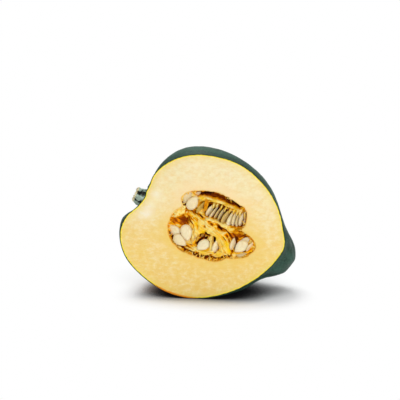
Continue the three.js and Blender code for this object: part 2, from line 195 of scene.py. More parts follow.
# Short hooks of fibre that hang from the upper strip between the seeds: upper and lower end.
HOOKS = (
    ((10, 20.5), (7.2, 12.5)), ((13.4, 20), (10.2, 12)), ((16.8, 19), (13.6, 11)),
    ((20.4, 17.5), (17, 9.5)), ((24, 16.5), (21.4, 8)), ((27, 15.5), (25.3, 7)),
    ((29.8, 14.5), (28.6, 6)), ((32.4, 13.5), (31.6, 5)), ((35.8, 12.5), (35.4, 4.5)),
)

# Fringe of torn fibres at the mouth: from one angle to another, and their number.
FRINGE = ((196, 322, 60), (52, 64, 8), (112, 128, 6), (330, 395, 30), (128, 196, 34))

# Paler flesh beside the stem with painted wet highlights: centre and reach.
PALE_FLESH_AND_WET_HIGHLIGHTS = (((-54, 8), 3), ((-49, 10.5), 5), ((-46, 17.5), 3), ((-41, 26.5), 4))

SEED_FORM = {"width": 0.65, "thickness": 0.155, "taper": 0.26}

STEM = {
    "along": (0, 2, 5, 9, 12, 14),
    "radius": (9.2, 9.0, 7.6, 6.7, 6.5, 6.1),
    "sink": 3,
    "ridges": 5,
    "ridge_turn": 0.75,
    "ridge_depth": 0.17,
}

# ---------------------------------------------------------------------------
# Sizes and colours that a user would change


def linear(red, green, blue):
    """Scene colour from ordinary colour numbers of 0 to 255."""
    return tuple((c / 255 + 0.055) ** 2.4 / 1.055 ** 2.4 if c > 10 else c / 255 / 12.92
                 for c in (red, green, blue))


def colour(name, about, *rgb):
    default = linear(*rgb)
    return FloatVectorProperty(name=name, description=about, subtype="COLOR", min=0, max=1, default=default)


def length(name, about, metres):
    return FloatProperty(name=name, description=about, min=0, unit="LENGTH", precision=5, default=metres)


def factor(name, about, value):
    return FloatProperty(name=name, description=about, min=0, max=1, subtype="FACTOR", default=value)


def power(name, about, watts):
    return FloatProperty(name=name, description=about, min=0, unit="POWER", default=watts)


def angle(name, about, degrees):
    return FloatProperty(name=name, description=about, subtype="ANGLE", default=degrees * DEG)


class RindLook(bpy.types.PropertyGroup):
    """Colours and relief of the ribbed rind."""

    green: colour("Green", "Main colour of the rind", 38, 72, 58)
    # Also darkens the creases, partly as painted shade.
    dark: colour("Dark green", "Creases and dark mottling", 14, 36, 30)
    pale: colour("Pale green", "Speckles and light mottling", 74, 106, 84)
    # Laid on the crests: partly the real waxy coat, partly a painted sheen.
    bloom_and_sheen: colour("Bloom", "Thin waxy bloom over the ribs", 76, 108, 98)
    patch: colour("Ground patch", "Orange patch where the fruit lay on the soil", 224, 128, 10)
    patch_edge: colour("Patch edge", "Olive zone around the ground patch", 92, 96, 20)
    patch_reach: length("Patch reach", "Radius of the ground patch", 0.034)
    relief: length("Relief", "Depth of the soft dents in the rind", 0.0004)


class FleshLook(bpy.types.PropertyGroup):
    """Colours of the cut face and of the cavity wall."""

    skin: colour("Skin line", "Cut edge of the rind", 20, 44, 24)
    under_skin: colour("Under the skin", "Yellow line inside the rind", 252, 230, 62)
    flesh: colour("Flesh", "Main colour of the flesh", 242, 208, 116)
    # Laid on more towards the top, partly as painted light from above.
    pale: colour("Pale flesh", "Paler flesh of the upper part", 246, 230, 184)
    mouth: colour("Around the cavity", "Flesh beside the cavity", 250, 222, 170)
    wall: colour("Cavity wall", "Wall of the cavity below its edge", 228, 148, 20)
    skin_thickness: length("Skin thickness", "Thickness of the rind at the cut", 0.0007)
    relief: length("Relief", "Unevenness of the cut face", 0.0002)


class PulpLook(bpy.types.PropertyGroup):
    """Colours of the pulp and sizes of its fibres."""

    # The pulp's colours by tone: deep is painted shade at the bottom of the gaps, brown partly painted shade
    # on their walls, and pale partly painted highlight on the tops.
    deep: colour("Deep", "Bottom of the gaps", 40, 8, 0)
    brown: colour("Brown", "Walls of the gaps", 152, 68, 2)
    orange: colour("Orange", "Lower pulp", 248, 156, 2)
    yellow: colour("Yellow", "Upper pulp", 255, 200, 18)
    pale: colour("Pale", "Tops of the strands", 255, 234, 150)
    lemon: colour("Lemon", "Bright pulp at the core", 255, 204, 4)
    film: colour("Film", "Thin skin between the seeds", 214, 140, 20)
    fibre_thickness: FloatProperty(
        name="Fibre thickness", description="Factor on the thickness of every fibre",
        min=0.1, max=3, default=1)
    fibre_sides: IntProperty(
        name="Fibre sides", description="Corners round each fibre", min=3, max=16, default=6)
    scatter: IntProperty(name="Scatter", description="Seed of the random fibres", min=0, default=7)


class SeedLook(bpy.types.PropertyGroup):
    """Colours and surface of the seeds."""

    coat: colour("Coat", "Main colour of the seed coat", 241, 224, 182)
    rim: colour("Rim", "Raised rim of the seed", 224, 190, 126)
    # Tan also paints shade on the seeds' outlines and on seeds that lie in shade.
    tan: colour("Tan", "Darker seeds", 214, 178, 100)
    film: colour("Film", "Seeds still under their wet film", 204, 168, 58)
    unevenness: length("Unevenness", "Waviness of the seed coats", 0.0003)


class StemLook(bpy.types.PropertyGroup):
    """Colours of the stem."""

    # The grey-green partly paints highlights on the ridges; the dark paints shade in the grooves.
    green: colour("Grey-green", "Sides of the stem", 164, 184, 168)
    dark: colour("Dark", "Grooves of the stem", 8, 14, 8)
    cork: colour("Cork", "Torn end of the stem", 222, 206, 148)
    pale: colour("Pale cork", "Dry crust of the torn end", 244, 236, 206)
    roughness: factor("Roughness", "Roughness of the cork", 0.85)


class StageLook(bpy.types.PropertyGroup):
    """Floor, lamps and camera."""

    floor: colour("Floor", "Colour of the floor", 250, 250, 250)
    ambient: factor("Ambient", "Strength of the light from all round", 0.38)
    key_power: power("Key lamp", "Power of the large lamp above", 7.5)
    fill_power: power("Fill lamp", "Power of the soft lamp in front", 7.8)
    azimuth: angle("Azimuth", "Camera's angle to the right", 6)
    elevation: angle("Elevation", "Camera's height angle", 15)
    distance: length("Distance", "From the camera to the middle of the face", 0.9)
    lens: FloatProperty(name="Lens", description="Focal length", min=1, unit="CAMERA", default=93)
    aim_up: length("Aim", "How far above the middle of the face the camera looks", 0.0226)
    aim_left: length("Aim left", "How far to the left of it the camera looks", 0.0026)


# ---------------------------------------------------------------------------
# Curves and noise


def smooth(knots, values, x, period=0):
    """Smooth curve through values at rising knots; it closes on itself with a period."""
    k = np.array(knots, float)
    v = np.array(values, float)
    x = np.asarray(x, float)
    if period:
        x = (x - k[0]) % period + k[0]
        k = np.concatenate(([k[-1] - period], k, k[:2] + period))
        v = np.concatenate(([v[-1]], v, v[:2]))
    slope = np.concatenate(([0], (v[2:] - v[:-2]) / (k[2:] - k[:-2]), [0]))
    i = np.clip(np.searchsorted(k, x, side="right") - 1, 0, len(k) - 2)
    h = k[i + 1] - k[i]
    t = np.clip((x - k[i]) / h, 0, 1)
    rest = 1 - t
    return (v[i] * (1 + 2 * t) * rest ** 2 + slope[i] * h * t * rest ** 2
            + v[i + 1] * t * t * (3 - 2 * t) - slope[i + 1] * h * t * t * rest)


def smooth_open(knots, values, x):
    """Smooth curve that keeps its slope at both ends."""
    k, v = (np.concatenate(([2 * row[0] - row[1]], row, [2 * row[-1] - row[-2]])) for row in (knots, values))
    return smooth(k, v, x)


def smooth_round(form, key, alpha):
    """Value of a form's row round the middle of the face, at angles in radians."""
    return smooth(form["angle"], form[key], alpha / DEG, 360)


def step(x, low, high):
    """Smooth step from 0 at low to 1 at high."""
    t = np.clip((x - low) / (high - low), 0, 1)
    return t * t * (3 - 2 * t)


def lattice(ix, iy, iz, seed):
    """Repeatable random value from -1 to 1 at each whole-number point."""
    n = (ix * 374761393 + iy * 668265263 + iz * 1274126177 + seed * 974711) & 0xFFFFFFFF
    n = ((n ^ (n >> 13)) * 1103515245) & 0xFFFFFFFF
    return ((n ^ (n >> 16)) & 0xFFFF) / 32767.5 - 1


def noise(p, seed=0, octaves=1):
    """Smooth noise of about -1 to 1 at points p, whose last axis holds three coordinates."""
    total = 0.0
    size = 1.0
    for octave in range(octaves):
        q = np.asarray(p, float) * 2 ** octave
        whole = np.floor(q).astype(np.int64)
        f = q - whole
        f = f * f * (3 - 2 * f)
        for corner in range(8):
            offset = np.array([corner & 1, corner >> 1 & 1, corner >> 2])
            weight = np.prod(np.where(offset, f, 1 - f), axis=-1)
            at = whole + offset
            total = total + size * weight * lattice(at[..., 0], at[..., 1], at[..., 2], seed + octave)
        size /= 2
    return total


def flat_noise(x, y, seed=0, octaves=1):
    return noise(np.stack([x, y, np.zeros_like(x)], -1), seed, octaves)


def circle(count):
    return np.linspace(0, 2 * math.pi, count, endpoint=False)


def unit_ring(angles):
    """Points of the flat circle of radius 1."""
    return np.stack([np.cos(angles), np.sin(angles), 0 * angles], -1)


# ---------------------------------------------------------------------------
# Form of the fruit


def fruit_axes():
    """Ways to the blossom tip, square to it in the face, and behind the face."""
    tilt, turn = FRUIT["tilt"] * DEG, FRUIT["turn"] * DEG
    axis = np.array([math.cos(tilt) * math.cos(turn), -math.sin(tilt) * math.cos(turn), -math.sin(turn)])
    above = np.array([math.sin(tilt), math.cos(tilt), 0])
    return axis, above, np.cross(above, axis)


AXIS, ABOVE, BEHIND = fruit_axes()
CENTRE = np.array(FRUIT["centre"], float)


def direction(alpha, beta):
    """Way from the middle of the face: alpha turns in the face, beta dips below it."""
    return np.stack([np.cos(beta) * np.cos(alpha), np.cos(beta) * np.sin(alpha), -np.sin(beta)], -1)


def polar(points):
    """Distance from the fruit's centre, angle from the blossom tip and angle round the axis."""
    q = points - CENTRE
    distance = np.linalg.norm(q, axis=-1)
    psi = np.arccos(np.clip(q @ AXIS / distance, -1, 1))
    return distance, psi, np.arctan2(q @ BEHIND, -(q @ ABOVE))


def crease(phi):
    """0 on a rib's crest, near 1 in the crease between two ribs."""
    wave = np.cos(FRUIT["ribs"] / 2 * (phi - FRUIT["rib_phase"] * DEG))
    soft = FRUIT["crease_width"]
    return 1 - np.sqrt(wave ** 2 + soft ** 2) / math.sqrt(1 + soft ** 2)


def fruit_radius(psi, phi):
    """Distance of the ribbed skin from the fruit's centre."""
    side = np.sin(psi)
    extra = np.where(psi > math.pi / 2, FRUIT["stem_rib_depth"] * 2 * side * (1 - side), 0)
    lop = 1 + FRUIT["lopside"] * side * np.cos(phi - FRUIT["lopside_angle"] * DEG)
    back = 1 + FRUIT["back_ribs"] * np.maximum(np.sin(phi), 0) ** 2
    radius = smooth(FRUIT["angle"], FRUIT["radius"], psi / DEG)
    return radius * lop * (1 - (FRUIT["rib_depth"] * side + extra) * back * crease(phi))


SEARCH = (5.0, 125.0)  # the skin lies between these distances
HALVINGS = 24


def skin_distance(ways):
    """Distance from the middle of the cut face to the skin in each direction."""
    near, far = (np.full(ways.shape[:-1], distance) for distance in SEARCH)
    blend = LOBE["blend"]
    for _ in range(HALVINGS):
        middle = (near + far) / 2
        points = ways * middle[..., None]
        distance, psi, phi = polar(points)
        to_lobe = np.linalg.norm(points - LOBE["centre"], axis=-1)
        inside = (fruit_radius(psi, phi) / distance) ** blend + (LOBE["radius"] / to_lobe) ** blend > 1
        near = np.where(inside, middle, near)
        far = np.where(inside, far, middle)
    return near


def skin_points(alpha, beta):
    """Points of the skin: one row for each beta, one column for each alpha."""
    a, b = np.meshgrid(alpha, beta)
    ways = direction(a, b)
    fade = step(1 - b / (RIM["fade"] * DEG), 0, 1)
    rim = smooth_round(RIM, "radius", alpha)
    at_face = skin_distance(direction(alpha, np.zeros_like(alpha)))
    return ways * (skin_distance(ways) * (1 + (rim / at_face - 1) * fade))[..., None]


def wall_points(alpha, depth, inset=0.0):
    """Points of the cavity wall at a depth below the face."""
    mouth = smooth_round(CAVITY, "radius", alpha) - inset
    down = np.clip(depth / (CAVITY["depth"] - inset), 0, 1)
    radius = mouth * (1 - down ** CAVITY["fullness"]) ** (1 / CAVITY["fullness"])
    x, y = (middle + radius * way for middle, way in zip(CAVITY["centre"], (np.cos(alpha), np.sin(alpha))))
    return np.stack([x, y, -depth + 0 * x], -1)


TURN = np.array(Matrix.Rotation(math.pi / 2 - LEAN * DEG, 3, "X"))


def standing_shift():
    """Place of the middle of the face in the row frame, from the box of the CAD half."""
    skin = skin_points(circle(360), np.linspace(0, math.pi / 2, 60)).reshape(-1, 3) @ TURN.T
    low, high = skin.min(0), skin.max(0)
    cad_low, cad_high = (np.array(corner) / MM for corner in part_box("squash_half"))
    x = ((cad_low + cad_high) / 2 - (low + high) / 2)[0]
    return np.array([x, cad_low[1] - low[1], cad_high[2] - high[2]])


SHIFT = standing_shift()


def to_row(points):
    """From the face's frame in millimetres to the row frame in metres."""
    return (np.asarray(points) @ TURN.T + SHIFT) * MM


# ---------------------------------------------------------------------------
# Meshes


def shell_faces(rings, columns):
    """Faces of a closed surface through rings of points, with one more point at each end; the
    rings turn anticlockwise seen from the last point's side."""
    tip = rings * columns
    last = tip - columns
    beside = [(a, (a + 1) % columns) for a in range(columns)]
    faces = [(row + a, row + b, row + b + columns, row + a + columns)
             for row in range(0, last, columns) for a, b in beside]
    return (faces + [(tip, b, a) for a, b in beside]
            + [(last + a, last + b, tip + 1) for a, b in beside])


def new_mesh(name, points, faces, attributes, edges=()):
    """Smooth mesh from points in metres; attributes hold a value for every point."""
    mesh = bpy.data.meshes.new(name)
    mesh.from_pydata(np.asarray(points).tolist(), edges, faces)
    for key, values in attributes.items():
        store(mesh, key, values)
    mesh.polygons.foreach_set("use_smooth", [True] * len(mesh.polygons))
    mesh.update()
    return mesh


def shell(name, rings, tips, attributes):
    """Closed mesh through rings of points in the face's frame, then the points at both ends."""
    points = to_row(np.concatenate([rings.reshape(-1, 3), tips]))
    return new_mesh(name, points, shell_faces(*rings.shape[:2]), attributes)


def store(mesh, key, values):
    """Writes one number, or one vector, for each vertex."""
    values = np.ascontiguousarray(values, np.float32)
    if values.ndim == 1:
        mesh.attributes.new(key, "FLOAT", "POINT").data.foreach_set("value", values)
    else:
        mesh.attributes.new(key, "FLOAT_VECTOR", "POINT").data.foreach_set("vector", values.ravel())


def add_object(name, data):
    thing = bpy.data.objects.new(name, data)
    bpy.context.scene.collection.objects.link(thing)
    return thing


def show(mesh, slot, *nodes):
    """Puts a finished mesh in the scene, in place of the CAD nodes it stands for."""
    piece = add_object(mesh.name, mesh)
    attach(piece, "root")
    if nodes:
        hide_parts(*nodes)


def spacing(total, near_start, near_end, middle):
    """Distances from 0 to total with fixed steps at both ends, for an array of totals."""
    start = np.array(near_start, float)
    end = np.array(near_end, float)
    share = np.linspace(0, 1, middle + 2)[1:-1]
    room = total - start[-1] - end[-1]
    rows = [np.full_like(total, s) for s in start]
    rows += [start[-1] + room * s for s in share]
    rows += [total - e for e in end[::-1]]
    return np.array(rows)


def gap_to(points, outline):
    """Shortest distance in the plane of the face from each point to a closed outline."""
    a = outline[:, :2]
    run = np.roll(a, -1, axis=0) - a
    best = np.full(len(points), np.inf)
    for start, edge in zip(a, run):
        q = points[:, :2] - start
        t = np.clip(q @ edge / (edge @ edge), 0, 1)
        best = np.minimum(best, np.hypot(*(q - t[:, None] * edge).T))
    return best


# ---------------------------------------------------------------------------
# Rind, flesh and cavity wall

BODY_COLUMNS = 480
DENT_SIZES = (11, 3.5)  # widths of the unevenness of the skin
CUT_DIP_SIZE = 6
WALL_BUMP_SIZE = 2.5
CUT_EDGE = 0.35  # rounding of the rind's cut edge
SHOULDER = (0.1, 0.12)  # how far in and down the skin's last row lies from the sharp edge
PATCH_AT = direction(-112 * DEG, 22 * DEG)
SKIN_ROWS = np.concatenate((np.linspace(89, 2, 116), (1.2, 0.7, 0.3)))  # degrees below the face
RIM_ROWS = (0, 0.25, 0.5, 0.75, 1.1, 1.6, 2.3, 3.4, 5)  # on the face, from the skin
MOUTH_ROWS = (0, 0.3, 0.7, 1.3, 2.2, 3.6)  # on the face, from the cavity
FACE_ROWS = 16
WALL_ROWS = (0.5, 1, 1.6, 2.4, 3.4, 4.6, 6, 7.6, 9.4, 11.4, 13.6, 16, 18.4, 20.8, 23, 24.8, 25.7)


def body_mesh(rind, flesh):
    """The half as one closed surface: back, skin, cut face and cavity wall down to its bottom."""
    around = circle(BODY_COLUMNS)
    beta = SKIN_ROWS * DEG
    skin = skin_points(around, beta)
    dents = noise(skin / DENT_SIZES[0], 3, 2) + 0.5 * noise(skin / DENT_SIZES[1], 9)
    dents = (dents - 1.6) * rind.relief / MM / 2 * step(beta, 0, 4 * DEG)[:, None]
    skin = skin * (1 + dents / np.linalg.norm(skin, axis=-1))[..., None]

    rim = skin_points(around, np.zeros(1))[0]
    reach = np.linalg.norm(rim, axis=-1)[:, None]
    shoulder = rim * (1 - SHOULDER[0] / reach) - (0, 0, SHOULDER[1])
    rim = rim * (1 - CUT_EDGE / reach)

    fray = 0.5 * noise(unit_ring(around) * 9, 5, 3)
    mouth = wall_points(around, 0, -fray)
    across = np.linalg.norm(mouth - rim, axis=-1)
    away = spacing(across, RIM_ROWS, MOUTH_ROWS, FACE_ROWS)
    face = rim + (mouth - rim) * (away / across)[..., None]
    dips = (noise(face / CUT_DIP_SIZE, 21, 2) - 1.2) * flesh.relief / MM / 2
    face[..., 2] = dips * step(away, 0, 2) - 0.25 * step(across - away, 0.8, 0)

    depth = np.array(WALL_ROWS)
    wall = np.array([wall_points(around, d, -fray * math.exp(-d / 4)) for d in depth])
    rough = (0.35 * noise(wall / WALL_BUMP_SIZE, 31, 2) - 0.3) / 30
    wall[..., :2] += (wall[..., :2] - CAVITY["centre"]) * rough[..., None] * step(depth, 0, 2)[:, None, None]

    rings = flat_base(np.concatenate([skin, [shoulder], face, wall]))
    tips = [skin_points(np.zeros(1), np.array([math.pi / 2]))[0, 0],
            [*CAVITY["centre"], -CAVITY["depth"]]]
    points = np.concatenate([rings.reshape(-1, 3), tips])
    _, psi, phi = polar(points)
    from_patch = np.linalg.norm(points - PATCH_AT * skin_distance(PATCH_AT[None])[0], axis=-1)
    mesh = shell("acorn_squash_half", rings, tips, {
        "crease": crease(phi) * np.sin(psi) ** 0.5,
        "round": np.stack([np.cos(phi), np.sin(phi), psi / math.pi], -1),
        "patch": 1 - from_patch / (rind.patch_reach / MM),
        "skin_gap": gap_to(points, rim),
        "mouth_gap": gap_to(points, mouth),
        "deep": -points[:, 2],
    })
    back = (len(rings) - 1) * BODY_COLUMNS
    cut = np.zeros(len(mesh.polygons), np.int32)
    cut[(len(skin) + 1) * BODY_COLUMNS:] = 1
    cut[back:back + BODY_COLUMNS] = 0
    mesh.materials.append(rind_material(rind))
    mesh.materials.append(flesh_material(flesh, rind))
    mesh.polygons.foreach_set("material_index", cut)
    return mesh


def flat_base(points):
    """Nothing goes below the floor: the ribs are flat where the half rests."""
    turned = points @ TURN.T
    turned[..., 2] = np.maximum(turned[..., 2], -SHIFT[2])
    return turned @ TURN


# ---------------------------------------------------------------------------
# Pulp


def beside_path(x, y, path):
    """Distance from a path, length along it and signed offset to its side."""
    best = np.full(np.shape(x), np.inf)
    along = np.zeros_like(best)
    side = np.zeros_like(best)
    run = 0
    for (ax, ay), (bx, by) in zip(path, path[1:]):
        dx, dy = bx - ax, by - ay
        size = math.hypot(dx, dy)
        t = np.clip(((x - ax) * dx + (y - ay) * dy) / size ** 2, 0, 1)
        off = np.hypot(x - ax - t * dx, y - ay - t * dy)
        closer = off < best
        best = np.where(closer, off, best)
        along = np.where(closer, run + t * size, along)
        side = np.where(closer, ((x - ax) * dy - (y - ay) * dx) / size, side)
        run += size
    return best, along, side


# The pulp is painted darker lower down as painted shade, and paler on its tops as painted light.
FLOOR_TONE, TOP_TONE = 0.42, 0.32  # of the pulp's floor, and how much paler its tops are
TONE_RANGE = (-6.5, -1.4)  # heights between which it gets paler
SPOT_TONE = 0.16  # how much darker or paler the brown and lemon places are


def pulp_form(x, y):
    """Height of the pulp over the face's plane, its tone from black 0 to pale 1, darker lower down
    and in the hollows and gaps as painted shade, and the grain that runs along its strands."""
    height = np.full(np.shape(x), PULP_FLOOR)
    nearest = np.full(np.shape(x), np.inf)
    grain = np.zeros(np.shape(x) + (3,))
    for number, (top, reach, path) in enumerate(STRANDS):
        off, along, side = beside_path(x, y, path)
        share = np.minimum(off / reach, 1)
        height = np.maximum(height, PULP_FLOOR + (top - PULP_FLOOR) * (1 - share ** 2) ** 0.8)
        closer = off / reach < nearest
        nearest = np.where(closer, off / reach, nearest)
        flow = np.stack([along, side, np.full_like(along, 9.0 * number)], -1)
        grain = np.where(closer[..., None], flow, grain)
    tone = FLOOR_TONE + TOP_TONE * step(height, *TONE_RANGE)
    tone = tone - SPOT_TONE * spots(x, y, BROWN) + SPOT_TONE * spots(x, y, LEMON)
    for (cx, cy), reach, bottom, dark in HOLLOWS:
        share = np.minimum(np.hypot(x - cx, y - cy) / reach, 1)
        height = np.minimum(height, bottom + (height - bottom) * share ** 3)
        tone = tone + (dark - tone) * (1 - share ** 4)
    for bottom, reach, dark, path in CREVICES:
        ragged = np.clip(0.85 + 0.9 * flat_noise(x / 1.2, y / 1.2, 41), 0.1, 1.6)
        torn = reach * (ragged if RAGGED[0] <= reach <= RAGGED[1] else 1)
        share = np.minimum(beside_path(x, y, path)[0] / torn, 1)
        height = np.minimum(height, bottom + (height - bottom) * share ** 2.5)
        tone = tone + (dark - tone) * (1 - share ** 3)
    return height, tone, grain


def spots(x, y, places):
    """Sum of soft round spots, at most 1."""
    total = 0
    for (cx, cy), reach in places:
        total = total + np.exp(-2 * ((x - cx) ** 2 + (y - cy) ** 2) / reach ** 2)
    return np.minimum(total, 1)


PULP_COLUMNS = 460
PULP_RINGS = 120
PULP_TOP = -0.05  # the pulp stays this far below the cut face
BOWL_ROWS = (0.2, 0.4, 0.6, 0.78, 0.9, 0.97)  # shares of the way down


def pulp_surface(x, y):
    """The pulp's form with its folds, cords and lumps: height, tone and grain."""
    sway_x, sway_y = (place + 0.8 * flat_noise(x / 4, y / 4, seed, 2) for place, seed in ((x, 1), (y, 2)))
    height, tone, grain = pulp_form(sway_x, sway_y)
    folds = 1 - 2.2 * np.abs(noise(grain * (0.09, 0.42, 1), 11, 2))
    cords = noise(grain * (0.13, 1.1, 1), 14, 2)
    lumps = flat_noise(x / 2.2, y / 2.2, 13, 2)
    calm = step(tone, 0.08, 0.42) * (1 - 0.5 * spots(x, y, LEMON))
    height = height + (1.05 * folds + 0.4 * cords) * calm + 0.35 * lumps - 0.8
    # The tone follows the folds and cords: paler on their crests as painted light, darker in their valleys as
    # painted shade.
    tone = np.clip(tone + (0.3 * folds + 0.16 * cords + 0.1 * lumps) * calm, 0, 1)
    return height, tone, grain


def pulp_mesh(look):
    """The pulp as one closed body: a strung, hollowed top and a bowl under it."""
    around = circle(PULP_COLUMNS)
    ragged = 0.5 * flat_noise(np.cos(around) * 12, np.sin(around) * 12, 3, 2)
    edge_depth = smooth_round(EDGE_DEPTH, "depth", around) + ragged
    edge = wall_points(around, edge_depth, -0.1)
    out = (np.arange(PULP_RINGS) + 1)[:, None] / PULP_RINGS
    x, y = (CAVITY["centre"][k] + (edge[:, k] - CAVITY["centre"][k]) * out for k in (0, 1))
    height, tone, grain = pulp_surface(x, y)
    height = np.minimum(height + (edge[:, 2] - height) * out ** 10, PULP_TOP)
    top = np.stack([x, y, height], -1)

    deepest = CAVITY["depth"] - PULP_GAP
    bowl = np.array([wall_points(around, edge_depth + (deepest - edge_depth) * share, PULP_GAP)
                     for share in BOWL_ROWS])
    tips = [[*CAVITY["centre"], -deepest], [*CAVITY["centre"], top[0, :, 2].mean()]]

    def values(rows, first):
        """Zeros for the bowl, the top's rows from the edge inwards, and the two end points."""
        under = np.zeros((len(bowl) * PULP_COLUMNS,) + rows.shape[2:])
        inwards = rows[::-1].reshape((-1,) + rows.shape[2:])
        return np.concatenate([under, inwards, [np.zeros_like(first), first]])

    shine = spots(x, y, LEMON)
    mesh = shell("pulp_body", np.concatenate([bowl[::-1], top[::-1]]), tips, {
        "tone": values(tone, tone[0].mean()),
        "lemon": values(shine, shine[0].mean()),
        "grain": values(grain, grain[0, 0]),
    })
    mesh.materials.append(pulp_material("Pulp", look))
    return mesh


# ---------------------------------------------------------------------------
# Fibres


def curve_along(path, share):
    """Point and sideways direction at shares from 0 to 1 of a smooth path."""
    path = np.array(path, float)
    run = np.concatenate(([0], np.cumsum(np.hypot(*np.diff(path, axis=0).T))))

    def point(at):
        return np.array([smooth_open(run, path[:, k], at) for k in (0, 1)])

    at = share * run[-1]
    dx, dy = point(np.minimum(at + 0.05, run[-1])) - point(np.maximum(at - 0.05, 0))
    size = np.hypot(dx, dy)
    return *point(at), -dy / size, dx / size


# A line of fibre holds x, y, thickness, lift, tone, chance, and the heights of both ends where
# it doesn't lie on the pulp.
LONG_SPAN = (0.75, 1)  # shares of a bundle's path that every third fibre covers
SHORT_SPAN = (0.25, 0.6)
HOOK_FIBRES = 4
HOOK_FORM = (0.4, 1.4, 0.7)  # thickness, lift and tone
HOOK_ENDS = (-1.4, -4.5)
FRINGE_FORM = (0.34, 0.9)  # thickness and lift
FRINGE_LENGTHS = (1.4, 3.6)
FRINGE_TONES = (0.42, 0.66, 0.84)
FRINGE_DROP = 2.5  # the most that a fringe fibre falls


def bundle_lines(random):
    """Fibres of the bundles, which lie on the pulp."""
    for path, number, spread, thickness, lift, tone in BUNDLES:
        for strand in range(number):
            span = random.uniform(*(SHORT_SPAN if strand % 3 else LONG_SPAN))
            start = random.uniform(0, 1 - span)
            share = np.linspace(start, start + span, 12 + int(18 * span))
            x, y, side_x, side_y = curve_along(path, share)
            place = spread * np.clip(random.normal(0, 0.27), -0.55, 0.55)
            wander = flat_noise(share * 5, np.full_like(share, random.uniform(0, 99)), 4, 2)
            off = place + 0.1 * spread * wander + 0.25 * wander
            yield x + off * side_x, y + off * side_y, thickness, lift, tone, random.uniform(0, 1), None


def hook_lines(random):
    """Fibres that hang from the upper strip between the seeds."""
    share = np.linspace(0, 1, 12)
    for (ax, ay), (bx, by) in HOOKS:
        for _ in range(HOOK_FIBRES):
            bend = random.uniform(-0.6, 0.6)
            off = random.uniform(-0.7, 0.7)
            x = ax + (bx - ax) * 0.7 * share + off + bend * np.sin(math.pi * share)
            y = ay + (by - ay) * share * random.uniform(0.45, 0.8)
            yield x, y, *HOOK_FORM, random.uniform(0, 1), HOOK_ENDS


def fringe_lines(random):
    """Torn fibres from the cavity's wall down to the pulp."""
    share = np.linspace(0, 1, 8)[:, None]
    for start, end, number in FRINGE:
        for angle_at in random.uniform(start, end, number) * DEG:
            top = wall_points(np.array([angle_at]), random.uniform(0.5, 2.2), 0.1)[0]
            inwards = (np.array([*CAVITY["centre"], 0]) - top) * (1, 1, 0)
            inwards /= np.linalg.norm(inwards)
            turned = random.uniform(-0.9, 0.9)
            aside = np.array([-inwards[1], inwards[0], 0])
            foot = top + random.uniform(*FRINGE_LENGTHS) * (inwards + turned * aside)
            x, y, _ = (top + (foot - top) * share).T
            depth = min(pulp_form(foot[:1], foot[1:2])[0][0], -0.8)
            ends = top[2], max(depth, top[2] - FRINGE_DROP)
            yield x, y, *FRINGE_FORM, random.choice(FRINGE_TONES), random.uniform(0, 1), ends


def fibre_points(look):
    """One edge-only mesh that holds every fibre's path."""
    random = np.random.default_rng(look.scatter)
    lines = [line for make in (bundle_lines, hook_lines, fringe_lines) for line in make(random)]
    points, edges = [], []
    values = {"thick": [], "tone": [], "lemon": [], "grain": []}
    for x, y, thickness, lift, tone, chance, ends in lines:
        share = np.linspace(0, 1, len(x))
        arch = np.sin(math.pi * share) ** 0.6
        height, below, _ = pulp_surface(x, y)
        if ends:
            level = np.interp(share, (0, 1), ends)
            below = below * 0 + tone
        else:
            level = np.convolve(np.pad(height, 2, mode="edge"), np.ones(5) / 5, mode="valid")
        radius = thickness * (0.45 + 0.75 * chance) * (0.35 + 0.65 * arch)
        z = np.minimum(level + (lift * chance + 0.1) * arch - 0.35 * (1 - arch), -0.6 * radius - 0.1)
        first = len(points)
        points += np.stack([x, y, z], -1).tolist()
        edges += [(first + i, first + i + 1) for i in range(len(x) - 1)]
        # Each fibre takes the pulp's tone beneath it, with its painted shade, and is painted darker the
        # deeper it lies, as painted shade.
        own = 0.35 * tone + 0.65 * below + 0.34 * (chance - 0.5)
        values["thick"] += (radius * MM * look.fibre_thickness).tolist()
        values["tone"] += np.clip(own * (0.35 + 0.65 * step(z, -9, -2)), 0, 1).tolist()
        values["lemon"] += (spots(x, y, LEMON) * 0.8).tolist()
        values["grain"] += np.stack([share * len(x), 7 * chance + 0 * share, x], -1).tolist()
    return new_mesh("fibre_paths", to_row(points), [], values, edges)


# ---------------------------------------------------------------------------
# Films

FILM_GRID = (14, 22)  # points across and down
FILM_HALF = 0.14  # half of the thickness
FILM_TOP = -0.3  # films stay this far below the cut face
# Corners at the top left, top right, bottom right and bottom left, sag and tone.
FILMS = (
    (((0.8, 22.5, -3), (5, 22, -3.4), (3.4, 9.5, -4.2), (-0.8, 10.5, -4)), 1.2, 0.4),
    (((-4.6, 22, -3), (-2.6, 22.5, -3.4), (-5.2, 11.5, -4), (-7, 11.5, -3.6)), 0.4, 0.6),
    (((-7.6, -4.6, -2), (-6.2, -5, -4), (-9.2, -17, -5), (-10.6, -16, -2.4)), 0.3, 0.7),
    (((-3, -5.5, -2.2), (-2, -6, -5), (-5.6, -15.5, -6), (-6.6, -15, -3)), 0.3, 0.66),
    (((6, -7, -1.8), (7.2, -7, -4.5), (7.4, -21, -5), (6, -21.4, -2.2)), 0.3, 0.8),
    (((8, -8, -2.6), (9, -8, -5), (8.8, -19, -6), (7.8, -19.5, -3)), 0.2, 0.7),
    (((13.2, -9, -1.8), (14.6, -9.4, -4), (15, -21, -5), (13.6, -22, -2)), 0.3, 0.8),
)


def sheet_faces(across, down):
    """Faces of a closed sheet: both sides of a grid of points and the band round them."""
    size = across * down
    faces = []
    for j in range(down - 1):
        for i in range(across - 1):
            k = across * j + i
            quad = [k, k + 1, k + across + 1, k + across]
            faces += [quad, [corner + size for corner in reversed(quad)]]
    border = (list(range(across)) + [across * j + across - 1 for j in range(1, down)]
              + [size - 1 - i for i in range(1, across)] + [across * j for j in range(down - 2, 0, -1)])
    return faces + [[k, i, i + size, k + size] for i, k in zip(border, border[1:] + border[:1])]


